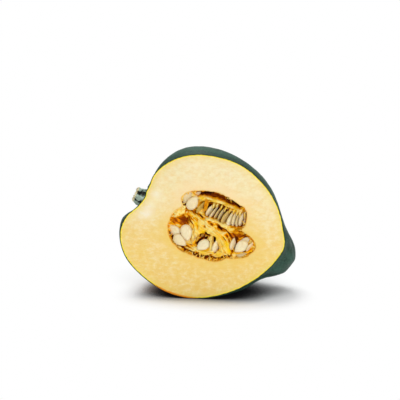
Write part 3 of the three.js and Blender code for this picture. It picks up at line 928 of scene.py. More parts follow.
def film_mesh(look):
    """Thin wavy skins of pulp, each a closed sheet."""
    u, v = np.meshgrid(*(np.linspace(0, 1, count) for count in FILM_GRID))
    points, faces, tones, grains = [], [], [], []
    for number, (corners, sag, tone) in enumerate(FILMS):
        a, b, c, d = (np.array(corner, float) for corner in corners)
        ragged = v * (0.86 + 0.22 * flat_noise(u * 4 + 7 * number, u * 0, 19))
        aside = 0.5 + (u - 0.5) * (0.75 + 0.3 * flat_noise(v * 5, v * 0 + number, 23))
        flat = ((1 - aside) * (1 - ragged))[..., None] * a + (aside * (1 - ragged))[..., None] * b
        flat = flat + (aside * ragged)[..., None] * c + ((1 - aside) * ragged)[..., None] * d
        normal = np.cross(b - a, d - a)
        normal /= np.linalg.norm(normal) * (1 if normal[2] < 0 else -1)
        ripple = flat_noise(u * 3 + 5 * number, v * 4, 17, 2)
        flat = flat + normal * (sag * np.sin(math.pi * u) * np.sin(math.pi * v) + 0.4 * ripple)[..., None]
        flat[..., 2] = np.minimum(flat[..., 2], FILM_TOP)
        start = len(points)
        for side in (FILM_HALF, -FILM_HALF):
            points += (flat + normal * side).reshape(-1, 3).tolist()
        faces += [[start + corner for corner in face] for face in sheet_faces(*FILM_GRID)]
        tones += np.tile((tone + 0.18 * ripple).ravel(), 2).tolist()
        grains += np.tile(np.stack([v * 9, u * 5, u * 0 + 3 * number], -1).reshape(-1, 3), (2, 1)).tolist()
    values = {"tone": np.clip(tones, 0, 1), "lemon": np.zeros(len(points)), "grain": grains}
    mesh = new_mesh("films", to_row(points), faces, values)
    outwards(mesh)
    mesh.materials.append(pulp_material("Film", look))
    return mesh


def outwards(mesh):
    """Turns every face of closed shells outwards."""
    shape = bmesh.new()
    shape.from_mesh(mesh)
    bmesh.ops.recalc_face_normals(shape, faces=shape.faces)
    shape.to_mesh(mesh)
    shape.free()
    mesh.update()


# ---------------------------------------------------------------------------
# Node trees


class Shader:
    """A node tree with short calls to add, link and blend things."""

    def __init__(self, tree):
        self.tree = tree

    def feed(self, socket, value):
        if isinstance(value, bpy.types.NodeSocket):
            self.tree.links.new(value, socket)
        elif socket.type == "RGBA" and len(value) == 3:
            socket.default_value = (*value, 1)
        else:
            socket.default_value = value

    def add(self, kind, links, settings):
        node = self.tree.nodes.new(kind)
        for key, value in settings.items():
            setattr(node, key, value)
        for key, value in (links or {}).items():
            self.feed(node.inputs[key], value)
        return node

    def node(self, kind, links=None, **settings):
        return self.add("ShaderNode" + kind, links, settings)

    def math(self, operation, a, b=0.0, c=0.0):
        return self.node("Math", {0: a, 1: b, 2: c}, operation=operation).outputs[0]

    def times(self, a, b):
        return self.math("MULTIPLY", a, b)

    def scaled(self, value, factor, plus):
        """value * factor + plus"""
        return self.math("MULTIPLY_ADD", value, factor, plus)

    def mix(self, share, a, b):
        return self.node("Mix", {0: share, 6: a, 7: b}, data_type="RGBA").outputs[2]

    def layers(self, tone, *layers):
        """Lays colours over the tone, each with a mask and the strength where that is 1."""
        for rgb, mask, strength in layers:
            tone = self.mix(self.times(mask, strength), tone, rgb)
        return tone

    def between(self, value, low, high):
        """0 below low and 1 above high, smooth between; high may be the smaller one."""
        ends = {"Value": value, "From Min": low, "From Max": high}
        return self.node("MapRange", ends, interpolation_type="SMOOTHSTEP").outputs[0]

    def ramp(self, value, stops):
        """Colours at rising places from 0 to 1."""
        node = self.node("ValToRGB", {"Fac": value})
        elements = node.color_ramp.elements
        while len(elements) < len(stops):
            elements.new(0.5)
        for element, (place, rgb) in zip(elements, stops):
            element.position = place
            element.color = (*rgb, 1)
        return node.outputs["Color"]

    def noise(self, vector, scale, detail=2.0, roughness=0.5):
        links = {"Vector": vector, "Scale": scale, "Detail": detail, "Roughness": roughness}
        return self.node("TexNoise", links).outputs["Fac"]

    def attribute(self, name, output="Fac"):
        return self.node("Attribute", attribute_name=name, attribute_type="GEOMETRY").outputs[output]

    def part(self, vector, axis):
        return self.node("SeparateXYZ", {"Vector": vector}).outputs[axis]

    def vector(self, operation, a, b=None, output=0):
        links = {0: a} if b is None else {0: a, 1: b}
        return self.node("VectorMath", links, operation=operation).outputs[output]

    def place(self):
        """Object coordinates in millimetres."""
        return self.stretch(self.node("TexCoord").outputs["Object"], (1 / MM, 1 / MM, 1 / MM))

    def depth(self, place):
        """Millimetres below the cut face."""
        out = TURN @ np.array([0, 0, 1.0])
        level = self.vector("DOT_PRODUCT", place, tuple(out), "Value")
        return self.math("SUBTRACT", float(SHIFT @ out), level)

    def stretch(self, vector, scale):
        return self.node("Mapping", {"Vector": vector, "Scale": scale}).outputs[0]

    def group(self, name, **links):
        """Outputs of a group that several materials use; it is built the first time."""
        node = self.node("Group")
        node.node_tree = bpy.data.node_groups.get(name) or GROUPS[name](name)
        for key, value in links.items():
            self.feed(node.inputs[key], value)
        return node.outputs

    def bump(self, height, distance, strength):
        links = {"Height": height, "Distance": distance, "Strength": strength}
        return self.node("Bump", links).outputs[0]

    def seen(self):
        """1 for rays from the camera and for those that a shiny or clear thing sends on."""
        rays = self.node("LightPath").outputs
        direct = self.math("MAXIMUM", rays["Is Camera Ray"], rays["Is Glossy Ray"])
        return self.math("MAXIMUM", direct, rays["Is Transmission Ray"])


class Tree(Shader):
    """A geometry node tree; it ends in real geometry of one material."""

    def __init__(self, name):
        super().__init__(bpy.data.node_groups.new(name, "GeometryNodeTree"))
        for way in ("INPUT", "OUTPUT"):
            self.tree.interface.new_socket("Geometry", in_out=way, socket_type="NodeSocketGeometry")
        self.start = self.tree.nodes.new("NodeGroupInput").outputs
        self.end = self.tree.nodes.new("NodeGroupOutput").inputs

    def input(self, name, kind):
        self.tree.interface.new_socket(name, in_out="INPUT", socket_type="NodeSocket" + kind)
        return self.start[name]

    def geometry(self, kind, links=None):
        return self.add("GeometryNode" + kind, links, {}).outputs[0]

    def named(self, name, kind):
        """The values of a mesh attribute."""
        outputs = self.add("GeometryNodeInputNamedAttribute", {"Name": name}, {"data_type": kind}).outputs
        return next(socket for socket in outputs if socket.enabled and socket.name == "Attribute")

    def finish(self, geometry, material):
        whole = self.geometry("RealizeInstances", {"Geometry": geometry})
        soft = self.geometry("SetShadeSmooth", {"Geometry": whole})
        done = self.geometry("SetMaterial", {"Geometry": soft, "Material": material})
        self.tree.links.new(done, self.end[0])
        return self.tree


def grown(mesh, tree, values, name):
    """The plain mesh that a tree makes of a mesh with these values of its inputs."""
    source = add_object("source", mesh)
    modifier = source.modifiers.new(name, "NODES")
    modifier.node_group = tree
    for item in tree.interface.items_tree:
        if item.in_out == "INPUT" and item.name in values:
            modifier[item.identifier] = values[item.name]
    bpy.context.view_layer.update()
    evaluated = source.evaluated_get(bpy.context.evaluated_depsgraph_get())
    result = bpy.data.meshes.new_from_object(evaluated)
    source.modifiers.clear()
    bpy.data.objects.remove(source)
    result.name = name
    return result


def fibre_tree():
    """Sweeps a round section along every path, as thick as its points say."""
    tree = Tree("Fibres")
    sides = tree.input("Sides", "Int")
    material = tree.input("Material", "Material")
    curve = tree.geometry("MeshToCurve", {"Mesh": tree.start[0]})
    section = tree.geometry("CurvePrimitiveCircle", {"Resolution": sides, "Radius": 1.0})
    sweep = tree.geometry("CurveToMesh", {
        "Curve": curve, "Profile Curve": section, "Scale": tree.named("thick", "FLOAT"), "Fill Caps": True})
    return tree.finish(sweep, material)


# ---------------------------------------------------------------------------
# Seeds

RIM_PROFILE = (  # inwards from the edge: share of the outline and share of the half thickness
    (1.0, 0.0), (0.985, 0.2), (0.955, 0.36), (0.92, 0.4), (0.885, 0.37), (0.85, 0.36), (0.78, 0.5),
    (0.66, 0.72), (0.5, 0.88), (0.3, 0.97), (0.12, 1.0),
)
SEED_COLUMNS = 44


def seed_template():
    """One seed of length 1 along x, pointed at +x, with a raised rim and domed faces."""
    x, y, _ = unit_ring(circle(SEED_COLUMNS)).T
    narrowing = (1 - SEED_FORM["taper"] * x - 0.1 * x * x) * (1 - 0.24 * np.maximum(x, 0) ** 2)
    outline = np.stack([x / 2, y * SEED_FORM["width"] / 2 * narrowing], -1)
    half = SEED_FORM["thickness"] / 2
    upper = [np.column_stack([outline * share, np.full(SEED_COLUMNS, half * height)])
             for share, height in RIM_PROFILE]
    rings = np.array([ring * (1, 1, -1) for ring in upper[:0:-1]] + upper)
    points = np.concatenate([rings.reshape(-1, 3), [(0, 0, -half), (0, 0, half)]])
    edge = [share for share, _ in RIM_PROFILE]
    edge = np.concatenate([np.repeat(edge[:0:-1] + edge, SEED_COLUMNS), [0, 0]])
    faces = shell_faces(len(rings), SEED_COLUMNS)
    return new_mesh("seed_form", points, faces, {"local": points, "edge": edge})


def seed_place(node):
    """Middle, axes and length of a CAD seed: long axis to its pointed end, width, thickness."""
    points = np.array([vertex.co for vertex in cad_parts[node].data.vertices])
    points = np.unique(np.round(points, 7), axis=0)
    q = points - points.mean(0)
    long, wide = np.linalg.svd(q, full_matrices=False)[2][:2]
    along = q @ long
    middle = points.mean(0) + long * (along.max() + along.min()) / 2
    if np.abs((points - middle) @ wide) @ ((points - middle) @ long) > 0:
        long = -long
    thin = np.cross(long, wide)
    if thin @ TURN[:, 2] < 0:
        wide, thin = -wide, -thin
    return middle, np.column_stack([long, wide, thin]), along.max() - along.min()


# Seeds that aren't plain cream: film 0 to 1 (greenish wet skin) and shade 0 to 1 (a tanner coat, partly
# painted shade on seeds that lie in shade, such as 28 in its hole).
SEED_FILM = {4: 0.75, 6: 0.05, 7: 0.3, 8: 0.4, 9: 0.72, 20: 0.3, 28: 0.4}
SEED_SHADE = {1: 0.3, 2: 0.12, 4: 0.6, 7: 0.3, 12: 0.2, 14: 0.1, 18: 0.1, 19: 0.5, 20: 0.35, 23: 0.1,
              27: 0.35, 28: 0.8}

# Factor on the seeds' thickness: the ones on edge are thinner than the rest.
SEED_THIN = {4: 0.6, 5: 0.6, 6: 0.5, 7: 0.55, 8: 0.55, 9: 0.55, 10: 0.62, 11: 0.6, 12: 0.55, 13: 0.62,
             14: 0.6, 20: 0.6, 22: 0.6, 23: 0.6, 26: 0.6}
USUAL_THIN = 0.85

# Small moves in the face's frame, and a turn in degrees about the seed's own length.
SEED_NUDGE = {  # number: move, turn
    3: ((-1.8, -1, -0.6), 0), 15: ((-1.2, -1.2, 0), 0),
    5: ((0, 0, 1), -12), 6: ((0, 0, 0.8), -6), 7: ((0, 0, 0.8), -4), 8: ((0, 0, 0.6), -4),
    10: ((0, 0, 0.5), -4), 11: ((0, 0, 0.6), -8), 12: ((0, 0, 0.6), -10), 13: ((0, 0, 0.4), -6),
    14: ((-0.6, 0, 0.6), -6), 16: ((0, -1.5, -2), 0), 22: ((0, 0, 0.5), -10),
    23: ((-0.6, 0, 1.6), -28), 25: ((0, 0.6, 1.2), 0), 26: ((-0.3, 0, 1.8), -16),
    28: ((0.5, 0, -2.5), 0),
}


def seed_nodes():
    return sorted(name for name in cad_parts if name.startswith("seed_"))


def seed_points():
    """One vertex for each seed, with its direction, length and tints."""
    middles, aims = [], []
    values = {"size": [], "film": [], "shade": [], "number": []}
    for node in seed_nodes():
        number = int(node.split("_")[1])
        middle, axes, size = seed_place(node)
        move, turned = SEED_NUDGE.get(number, ((0, 0, 0), 0))
        middles.append(tuple(middle + TURN @ np.array(move) * MM))
        aims.append((Matrix(axes.tolist()) @ Matrix.Rotation(turned * DEG, 3, "X")).to_quaternion())
        values["size"].append((size, size, size * SEED_THIN.get(number, USUAL_THIN)))
        values["film"].append(SEED_FILM.get(number, 0))
        values["shade"].append(SEED_SHADE.get(number, 0))
        values["number"].append(number)
    mesh = new_mesh("seed_places", middles, [], values)
    aim = mesh.attributes.new("aim", "QUATERNION", "POINT")
    aim.data.foreach_set("value", np.array(aims, np.float32).ravel())
    return mesh


def seed_tree():
    """Puts the seed on every point, turned and sized by the point, with a slightly wavy coat."""
    tree = Tree("Seeds")
    seed = tree.input("Seed", "Object")
    wave = tree.input("Unevenness", "Float")
    material = tree.input("Material", "Material")
    form = tree.add("GeometryNodeObjectInfo", {"Object": seed}, {}).outputs["Geometry"]
    placed = tree.geometry("InstanceOnPoints", {
        "Points": tree.start[0], "Instance": form,
        "Rotation": tree.named("aim", "QUATERNION"), "Scale": tree.named("size", "FLOAT_VECTOR")})
    whole = tree.geometry("RealizeInstances", {"Geometry": placed})
    place = tree.geometry("InputPosition")
    random = tree.node("TexNoise", {"Vector": place, "Scale": 170.0, "Detail": 1.0}).outputs["Color"]
    shift = tree.node(
        "VectorMath", {0: tree.vector("SUBTRACT", random, (0.5, 0.5, 0.5)), "Scale": tree.times(wave, 2.0)},
        operation="SCALE").outputs[0]
    wavy = tree.geometry("SetPosition", {"Geometry": whole, "Offset": shift})
    return tree.finish(wavy, material)


# ---------------------------------------------------------------------------
# Stem

STEM_COLUMNS = 200
STEM_FOOT = CENTRE - AXIS * (FRUIT["radius"][-1] - STEM["sink"])
TORN_ROWS = (0.965, 0.9, 0.82, 0.73, 0.63, 0.53, 0.43, 0.33, 0.23, 0.13)  # shares of the end's radius
TORN_DROP = 1.0  # how far the torn end lies below the stem's full height
LIP = (0.82, 0.1, 0.5)  # place, reach and height of the end's raised ring


def place_stem(turned, along, radius):
    """Points round the stem's axis at distances along it."""
    spoke = ABOVE * np.cos(turned)[:, None] + BEHIND * np.sin(turned)[:, None]
    along = along + STEM["sink"] + np.zeros_like(radius)
    return STEM_FOOT - AXIS * along[..., None] + spoke[None] * radius[..., None]


def stem_mesh(look):
    """Ridged corky stem, sunk into the fruit at its base and torn off at its end."""
    turned = circle(STEM_COLUMNS)
    tall = STEM["along"][-1]
    along = np.concatenate(([-STEM["sink"] + 0.4], np.linspace(-1.5, tall - 0.9, 46)))
    radius = smooth_open(STEM["along"], STEM["radius"], np.clip(along, 0, tall))[:, None]
    around = unit_ring(turned)[None]
    up = np.array([0, 0, 1]) * along[:, None, None]
    sway = noise(around * 1.6 + up / 4, 45, 2)
    ridge = np.cos(STEM["ridges"] * (turned + 0.25 * along[:, None] / tall) + STEM["ridge_turn"] + 1.6 * sway)
    ridge = 1 + STEM["ridge_depth"] * (ridge - 0.25)
    groove = noise(around * 5 + up / 9, 41, 3)
    crack = noise(around * 11 + up / 4, 42, 2)
    wide = radius * ridge * (1 - 0.04 + 0.11 * groove + 0.05 * crack)
    sides = place_stem(turned, along[:, None], wide)

    share = np.array(TORN_ROWS)[:, None]
    flat = around * share[..., None]
    torn = noise(flat * 4, 43, 3)
    lip = LIP[2] * np.exp(-((share - LIP[0]) / LIP[1]) ** 2)
    rise = np.minimum(tall - TORN_DROP + 1.1 * torn - 1.6 * (1 - share) ** 1.5 + lip, tall - 0.05)
    end = place_stem(turned, rise, wide[-1] * share)
    rings = flat_base(np.concatenate([sides, end]))
    rings[..., 2] = np.minimum(rings[..., 2], 0)
    sunk = np.flatnonzero(along < STEM["along"][1])
    rings[sunk, :, 2] = np.minimum(rings[sunk, :, 2], -0.6)
    fade = step(along, tall - 3.2, tall - 0.9) * 0.6
    ridge = (ridge - 1) / STEM["ridge_depth"] + groove
    mesh = shell("stem_piece", rings, [sides[0].mean(0), end[-1].mean(0)], {
        "torn": np.concatenate([np.repeat(fade, STEM_COLUMNS), np.ones(torn.size), [0, 1]]),
        "ridge": np.concatenate([ridge.ravel(), torn.ravel(), [0, 0]]),
        "round": np.concatenate([
            (around + up / 9).reshape(-1, 3), flat.reshape(-1, 3), [[0, 0, 0], [0, 0, 1]]]),
    })
    outwards(mesh)
    mesh.materials.append(stem_material(look))
    return mesh


# ---------------------------------------------------------------------------
# Shared parts of materials


class Surface(Shader):
    """The node tree of a new material."""

    def __init__(self, name):
        self.material = bpy.data.materials.new(name)
        self.material.use_nodes = True
        super().__init__(self.material.node_tree)
        self.tree.nodes.clear()

    def finish(self, tone, roughness, bump, **constants):
        """Principled surface: the tone and the bump change over it, constants are its own values."""
        values = {"Base_Color": tone, "Roughness": roughness, "Normal": self.bump(*bump), **constants}
        values = {key.replace("_", " "): value for key, value in values.items()}
        self.end(self.node("BsdfPrincipled", values))
        return self.material

    def end(self, node):
        self.node("OutputMaterial", {"Surface": node.outputs[0]})


def new_group(name, outputs, vector, **numbers):
    """A node group with a vector, some numbers and value outputs: the tree, its shader calls,
    what it is given and where it puts what it makes."""
    tree = bpy.data.node_groups.new(name, "ShaderNodeTree")
    tree.interface.new_socket(vector, in_out="INPUT", socket_type="NodeSocketVector")
    for label, default in numbers.items():
        socket = tree.interface.new_socket(label, in_out="INPUT", socket_type="NodeSocketFloat")
        socket.default_value = default
    for label in outputs:
        tree.interface.new_socket(label, in_out="OUTPUT", socket_type="NodeSocketFloat")
    given = tree.nodes.new("NodeGroupInput").outputs
    return tree, Shader(tree), given, tree.nodes.new("NodeGroupOutput").inputs


def build_grain(name):
    """Fine moist grain: two sizes of noise as one height and one mask."""
    tree, shader, given, put = new_group(name, ("Height", "Mask"), "Vector", Size=1.0)
    scale = shader.math("DIVIDE", 1.0, given["Size"])
    fine = shader.noise(given["Vector"], scale, 4.0, 0.6)
    wide = shader.noise(given["Vector"], shader.times(scale, 0.27), 2.0)
    shader.feed(put["Height"], shader.scaled(wide, 0.6, fine))
    shader.feed(put["Mask"], shader.between(fine, 0.38, 0.66))
    return tree


def build_speckles(name):
    """Scattered round specks: 1 inside a speck, with the share of cells that hold one."""
    tree, shader, given, put = new_group(name, ("Mask",), "Vector", Size=1.0, Amount=0.5)
    scale = shader.math("DIVIDE", 1.0, given["Size"])
    cells = shader.node("TexVoronoi", {"Vector": given["Vector"], "Scale": scale, "Randomness": 1.0}).outputs
    speck = shader.between(cells["Distance"], 0.42, 0.12)
    chance = shader.node("SeparateColor", {"Color": cells["Color"]}).outputs[0]
    kept = shader.math("LESS_THAN", chance, given["Amount"])
    shader.feed(put["Mask"], shader.times(speck, kept))
    return tree


def build_streaks(name):
    """Fine streaks along the first axis of a grain vector."""
    tree, shader, given, put = new_group(name, ("Mask", "Height"), "Grain", Width=0.5)
    scale = shader.math("DIVIDE", 1.0, given["Width"])
    fine = shader.noise(shader.stretch(given["Grain"], (0.12, 1, 1)), scale, 3.0, 0.55)
    shader.feed(put["Mask"], shader.between(fine, 0.36, 0.64))
    shader.feed(put["Height"], fine)
    return tree


# Effects that several materials use, as node groups that put out only masks and heights.
GROUPS = {"Grain": build_grain, "Speckles": build_speckles, "Streaks": build_streaks}

# ---------------------------------------------------------------------------
# Materials

PATCH_GOLD = linear(240, 170, 52)
FLESH_TINTS = {
    "blotch": linear(238, 196, 92),
    "frost": linear(255, 244, 212),
    "low ring": linear(242, 206, 104),
    "dots": linear(236, 190, 110),
    "outer": linear(240, 214, 106),
    # painted wet highlight on the paler flesh beside the stem
    "wet": linear(252, 243, 222),
    "under patch": linear(238, 152, 20),
    "lip": linear(244, 190, 70),
    "upper wall": linear(248, 204, 96),
    "gold wall": linear(244, 176, 48),
    # painted shade on the lower wall and at the bottom of the cavity
    "shaded low wall": linear(160, 78, 4),
    "shaded cavity floor": linear(70, 20, 0),
}
SEED_TINTS = {
    "light": linear(252, 240, 208),
    "bead": linear(248, 242, 228),
    "depth_shade": linear(236, 166, 60),
}
PITH = linear(112, 78, 40)


def rind_material(look):
    """Dark green rind with its creases, speckles, pale waxy coat and ground patch: paler on the crests partly
    as a painted sheen, darker in the creases partly as painted shade.
    """
    shader = Surface("Rind")
    place = shader.place()
    in_crease = shader.attribute("crease")
    drift = shader.noise(shader.stretch(shader.attribute("round", "Vector"), (9, 9, 3)), 1.6, 5.0, 0.6)
    cloud = shader.noise(place, 0.06, 4.0, 0.6)
    fine = shader.group("Grain", Vector=place, Size=1.5)
    blend = shader.between(shader.scaled(cloud, 0.8, shader.times(drift, 0.8)), 0.55, 1.1)
    small, large = (
        shader.group("Speckles", Vector=place, Size=size, Amount=amount)["Mask"]
        for size, amount in ((1.7, 0.5), (3.6, 0.22)))
    specks = shader.math("MAXIMUM", small, large)
    # The crests are paler, partly the rind's real waxy coat and partly a painted sheen; the creases are
    # darker, partly as painted shade.
    bloom_and_sheen = shader.times(shader.between(in_crease, 0.6, 0.05), shader.between(cloud, 0.35, 0.7))
    ragged = shader.scaled(shader.noise(place, 0.09, 5.0, 0.62), 1.5, -0.75)
    ragged = shader.scaled(drift, 0.8, shader.math("SUBTRACT", ragged, 0.4))
    patch = shader.math("ADD", shader.attribute("patch"), ragged)
    tone = shader.layers(
        shader.mix(blend, look.dark, look.green),
        (look.pale, fine["Mask"], 0.35),
        (look.pale, specks, 0.4),
        (look.dark, shader.between(in_crease, 0.35, 1.0), 0.75),
        (look.bloom_and_sheen, bloom_and_sheen, 0.35),
        (look.patch_edge, shader.between(patch, -0.25, 0.12), 0.85))
    warm = shader.layers(look.patch, (PATCH_GOLD, fine["Mask"], 0.35))
    tone = shader.mix(shader.between(patch, 0.05, 0.32), tone, warm)
    height = shader.scaled(specks, -0.35, fine["Height"])
    rough = shader.scaled(specks, 0.12, shader.scaled(shader.noise(place, 0.12, 3.0), 0.24, 0.4))
    return shader.finish(tone, rough, (height, 0.00022, 0.7), IOR=1.45, Specular_IOR_Level=0.15)


def flesh_material(look, rind):
    """Moist pale flesh with its skin line, paler towards the top partly as painted light from above, and the
    cavity wall, whose colour darkens downwards as painted shade.
    """
    shader = Surface("Flesh")
    tints = FLESH_TINTS
    place = shader.place()
    skin_gap = shader.attribute("skin_gap")
    mouth_gap = shader.attribute("mouth_gap")
    deep = shader.attribute("deep")
    grain = shader.group("Grain", Vector=place, Size=0.9)
    cloud = shader.noise(place, 0.045, 3.0, 0.55)
    height = shader.part(place, "Z")

    # Paler towards the top: partly the flesh's own tint, partly painted light from above.
    upper = shader.between(shader.scaled(cloud, 60.0, height), 55.0, 140.0)
    mottle = shader.noise(shader.stretch(place, (0.6, 1, 1)), 0.3, 6.0, 0.7)
    beside = shader.mix(shader.between(height, 60.0, 95.0), tints["low ring"], look.mouth)
    dots = shader.group("Speckles", Vector=place, Size=1.3, Amount=0.45)["Mask"]
    tone = shader.layers(
        shader.mix(upper, look.flesh, look.pale),
        (tints["blotch"], shader.between(mottle, 0.62, 0.28), 0.4),
        (tints["frost"], shader.between(mottle, 0.42, 0.8), 0.6),
        (look.pale, grain["Mask"], 0.22),
        (beside, shader.between(shader.scaled(cloud, 9.0, mouth_gap), 19.0, 5.0), 0.7),
        (tints["dots"], shader.times(dots, shader.between(mouth_gap, 26.0, 3.0)), 0.18),
        (tints["outer"], shader.between(shader.scaled(cloud, 5.0, skin_gap), 11.0, 2.0), 0.5))
    # Paler flesh with painted wet highlights along the stem's notch.
    for spot, reach in PALE_FLESH_AND_WET_HIGHLIGHTS:
        centre = tuple((to_row([[*spot, 0.0]])[0] / MM).tolist())
        off = shader.vector("LENGTH", shader.vector("SUBTRACT", place, centre), output="Value")
        near = shader.between(shader.scaled(mottle, 22.0, off), reach + 14.0, reach + 5.0)
        tone = shader.layers(tone, (tints["wet"], near, 0.75))

    waver = shader.scaled(shader.noise(place, 0.35, 3.0), 0.9, -0.45)
    gap = shader.math("ADD", skin_gap, waver)
    width = look.skin_thickness / MM
    patch = shader.between(shader.attribute("patch"), -0.05, 0.2)
    yellow = shader.mix(patch, look.under_skin, tints["under patch"])
    line = shader.mix(patch, look.skin, rind.patch)
    tone = shader.mix(shader.between(gap, 2.4 * width, 1.2 * width), tone, yellow)
    tone = shader.mix(shader.between(gap, 0.9 * width, 0.5 * width), tone, line)

    tone = shader.layers(tone, (tints["lip"], shader.between(mouth_gap, 1.4, 0.1), 0.55))
    # Painted shade: the wall's colour darkens with depth, from gold near the edge to dark brown at the
    # bottom.
    down = shader.scaled(shader.noise(place, 0.5, 3.0), 1.6, shader.math("SUBTRACT", deep, 0.8))
    wall = shader.ramp(shader.math("DIVIDE", down, 14.0), (
        (0.0, tints["upper wall"]), (0.12, tints["gold wall"]), (0.3, look.wall),
        (0.55, tints["shaded low wall"]), (1.0, tints["shaded cavity floor"])))
    in_cavity = shader.times(shader.between(deep, 0.25, 0.8), shader.between(mouth_gap, 6.0, 5.0))
    tone = shader.mix(in_cavity, tone, wall)

    relief = shader.scaled(dots, -0.4, grain["Height"])
    rough = shader.scaled(grain["Mask"], 0.14, 0.4)
    return shader.finish(
        tone, rough, (relief, 0.00012, 0.6), IOR=1.4, Specular_IOR_Level=0.25,
        Subsurface_Weight=0.25, Subsurface_Radius=(1.0, 0.55, 0.18), Subsurface_Scale=0.0025)


def pulp_material(name, look):
    """Wet pulp, from the black of the gaps, which is painted shade, to the pale tops, which are partly
    painted highlight, with streaks along its grain.
    """
    shader = Surface(name)
    tone = shader.attribute("tone")
    streak = shader.group("Streaks", Grain=shader.attribute("grain", "Vector"), Width=0.7)
    grain = shader.group("Grain", Vector=shader.place(), Size=1.1)
    fine = shader.scaled(streak["Mask"], 0.32, shader.scaled(grain["Mask"], 0.12, -0.17))
    value = shader.scaled(fine, shader.between(tone, 0.04, 0.4), tone)
    colours = shader.ramp(value, (
        (0.0, look.deep), (0.18, look.brown), (0.38, look.orange), (0.6, look.yellow), (0.9, look.pale)))
    if name == "Film":
        colours = shader.mix(0.45, colours, look.film)
    bright = shader.times(shader.attribute("lemon"), shader.between(value, 0.3, 0.6))
    colours = shader.mix(bright, colours, look.lemon)
    height = shader.scaled(streak["Height"], 1.2, grain["Height"])
    rough = shader.scaled(grain["Mask"], 0.2, 0.26)
    return shader.finish(
        colours, rough, (height, 0.0003, 0.7), IOR=1.38, Specular_IOR_Level=0.06,
        Subsurface_Weight=0.1, Subsurface_Radius=(1.0, 0.5, 0.1), Subsurface_Scale=0.001)


def seed_material(look):
    """Cream seed coats: lighter streaks, blots, a rim and groove with painted highlight and shade, tints for
    each seed and painted shade deeper in the cavity.
    """
    shader = Surface("Seed coat")
    local = shader.attribute("local", "Vector")
    edge = shader.attribute("edge")
    place = shader.place()
    grain = shader.group("Grain", Vector=place, Size=1.3)
    number = shader.node("CombineXYZ", {"Z": shader.attribute("number")}).outputs[0]
    shifted = shader.vector("ADD", local, number)
    fine = shader.noise(shader.stretch(shifted, (6, 42, 6)), 1.0, 3.0, 0.6)
    blot = shader.noise(shader.stretch(shifted, (3, 3, 3)), 1.0, 3.0, 0.6)
    # The raised bead is painted lighter as a highlight; the groove and the outline are painted tan, partly as
    # painted shade and partly the rim's own tan.
    bead = shader.times(shader.between(edge, 0.8, 0.88), shader.between(edge, 0.99, 0.93))
    groove = shader.times(shader.between(edge, 0.78, 0.85), shader.between(edge, 0.93, 0.87))
    tone = shader.layers(
        shader.mix(shader.between(fine, 0.4, 0.7), look.coat, SEED_TINTS["light"]),
        (look.rim, shader.between(blot, 0.5, 0.75), 0.35),
        (SEED_TINTS["bead"], bead, 0.2),
        (look.rim, groove, 0.8),
        (look.tan, shader.between(edge, 0.9, 1.0), 0.75),
        (look.tan, shader.between(shader.part(local, "X"), 0.34, 0.5), 0.5))
    # Tanner seeds, partly painted shade on seeds that lie in shade.
    tone = shader.mix(shader.attribute("shade"), tone, look.tan)
    tone = shader.mix(shader.attribute("film"), tone, look.film)
    # Painted shade: seeds deeper in the cavity turn a warm orange-brown.
    depth_shade = shader.between(shader.depth(place), 5.0, 11.0)
    tone = shader.layers(tone, (SEED_TINTS["depth_shade"], depth_shade, 0.6))
    height = shader.scaled(fine, 0.5, grain["Height"])
    rough = shader.scaled(grain["Mask"], 0.16, 0.34)
    return shader.finish(
        tone, rough, (height, 0.00012, 0.6), IOR=1.45, Specular_IOR_Level=0.25,
        Subsurface_Weight=0.55, Subsurface_Radius=(1.0, 0.85, 0.55), Subsurface_Scale=0.0022)


def stem_material(look):
    """Grey-green cork with dry specks and a cream torn end; the ridges are painted lighter as highlights and
    the grooves near black as painted shade, partly the cork's own mottling.
    """
    shader = Surface("Stem cork")
    place = shader.place()
    torn = shader.attribute("torn")
    ridge = shader.attribute("ridge")
    fibres = shader.noise(shader.stretch(shader.attribute("round", "Vector"), (9, 9, 2)), 1.4, 5.0, 0.62)
    grain = shader.group("Grain", Vector=place, Size=0.8)
    value = shader.scaled(fibres, 0.9, shader.times(ridge, 0.34))
    value = shader.scaled(shader.noise(place, 0.75, 3.0, 0.6), 1.3, shader.math("SUBTRACT", value, 0.65))
    specks = shader.group("Speckles", Vector=place, Size=0.9, Amount=0.5)["Mask"]
    # Lighter on the ridges as painted highlight, near black in the grooves as painted shade, partly the
    # cork's own mottling.
    sides = shader.mix(shader.between(value, 0.2, 0.62), look.dark, look.green)
    sides = shader.layers(sides, (look.pale, specks, 0.35))
    cork = shader.mix(grain["Mask"], look.cork, look.pale)
    cork = shader.layers(cork, (PITH, shader.between(fibres, 0.55, 0.4), 0.5))
    ragged = shader.scaled(fibres, 0.9, shader.math("SUBTRACT", torn, 0.45))
    tone = shader.mix(shader.between(ragged, 0.14, 0.4), sides, cork)
    height = shader.scaled(fibres, 1.5, grain["Height"])
    return shader.finish(tone, look.roughness, (height, 0.0005, 0.8), IOR=1.45, Specular_IOR_Level=0.35)


# ---------------------------------------------------------------------------
# Stage

FLOOR_SIZE = 1.6
SHADOW_SHARE = 0.88  # how much of the lamps' shading the floor shows near the half
SHADOW_REACH = (0.045, 0.085)  # from where to where it fades to plain white
SHADOW_SHAPE = (0.7, 1, 1)  # the shadow is longer along x
# Painted contact shadow: near where the half touches, occlusion darkens the floor's colour and its white
# towards this tint.
CONTACT = 0.02  # how far the dark of the contact reaches
CONTACT_SHADOW_TINT = linear(30, 30, 32)
LAMP_TARGET = Vector((0, 0, 0.06))
KEY_PLACE, KEY_SIZE = (-0.15, 0.3, 1.0), 0.5
FILL_PLACE, FILL_SIZE = (0.5, -1.15, 0.5), 0.7


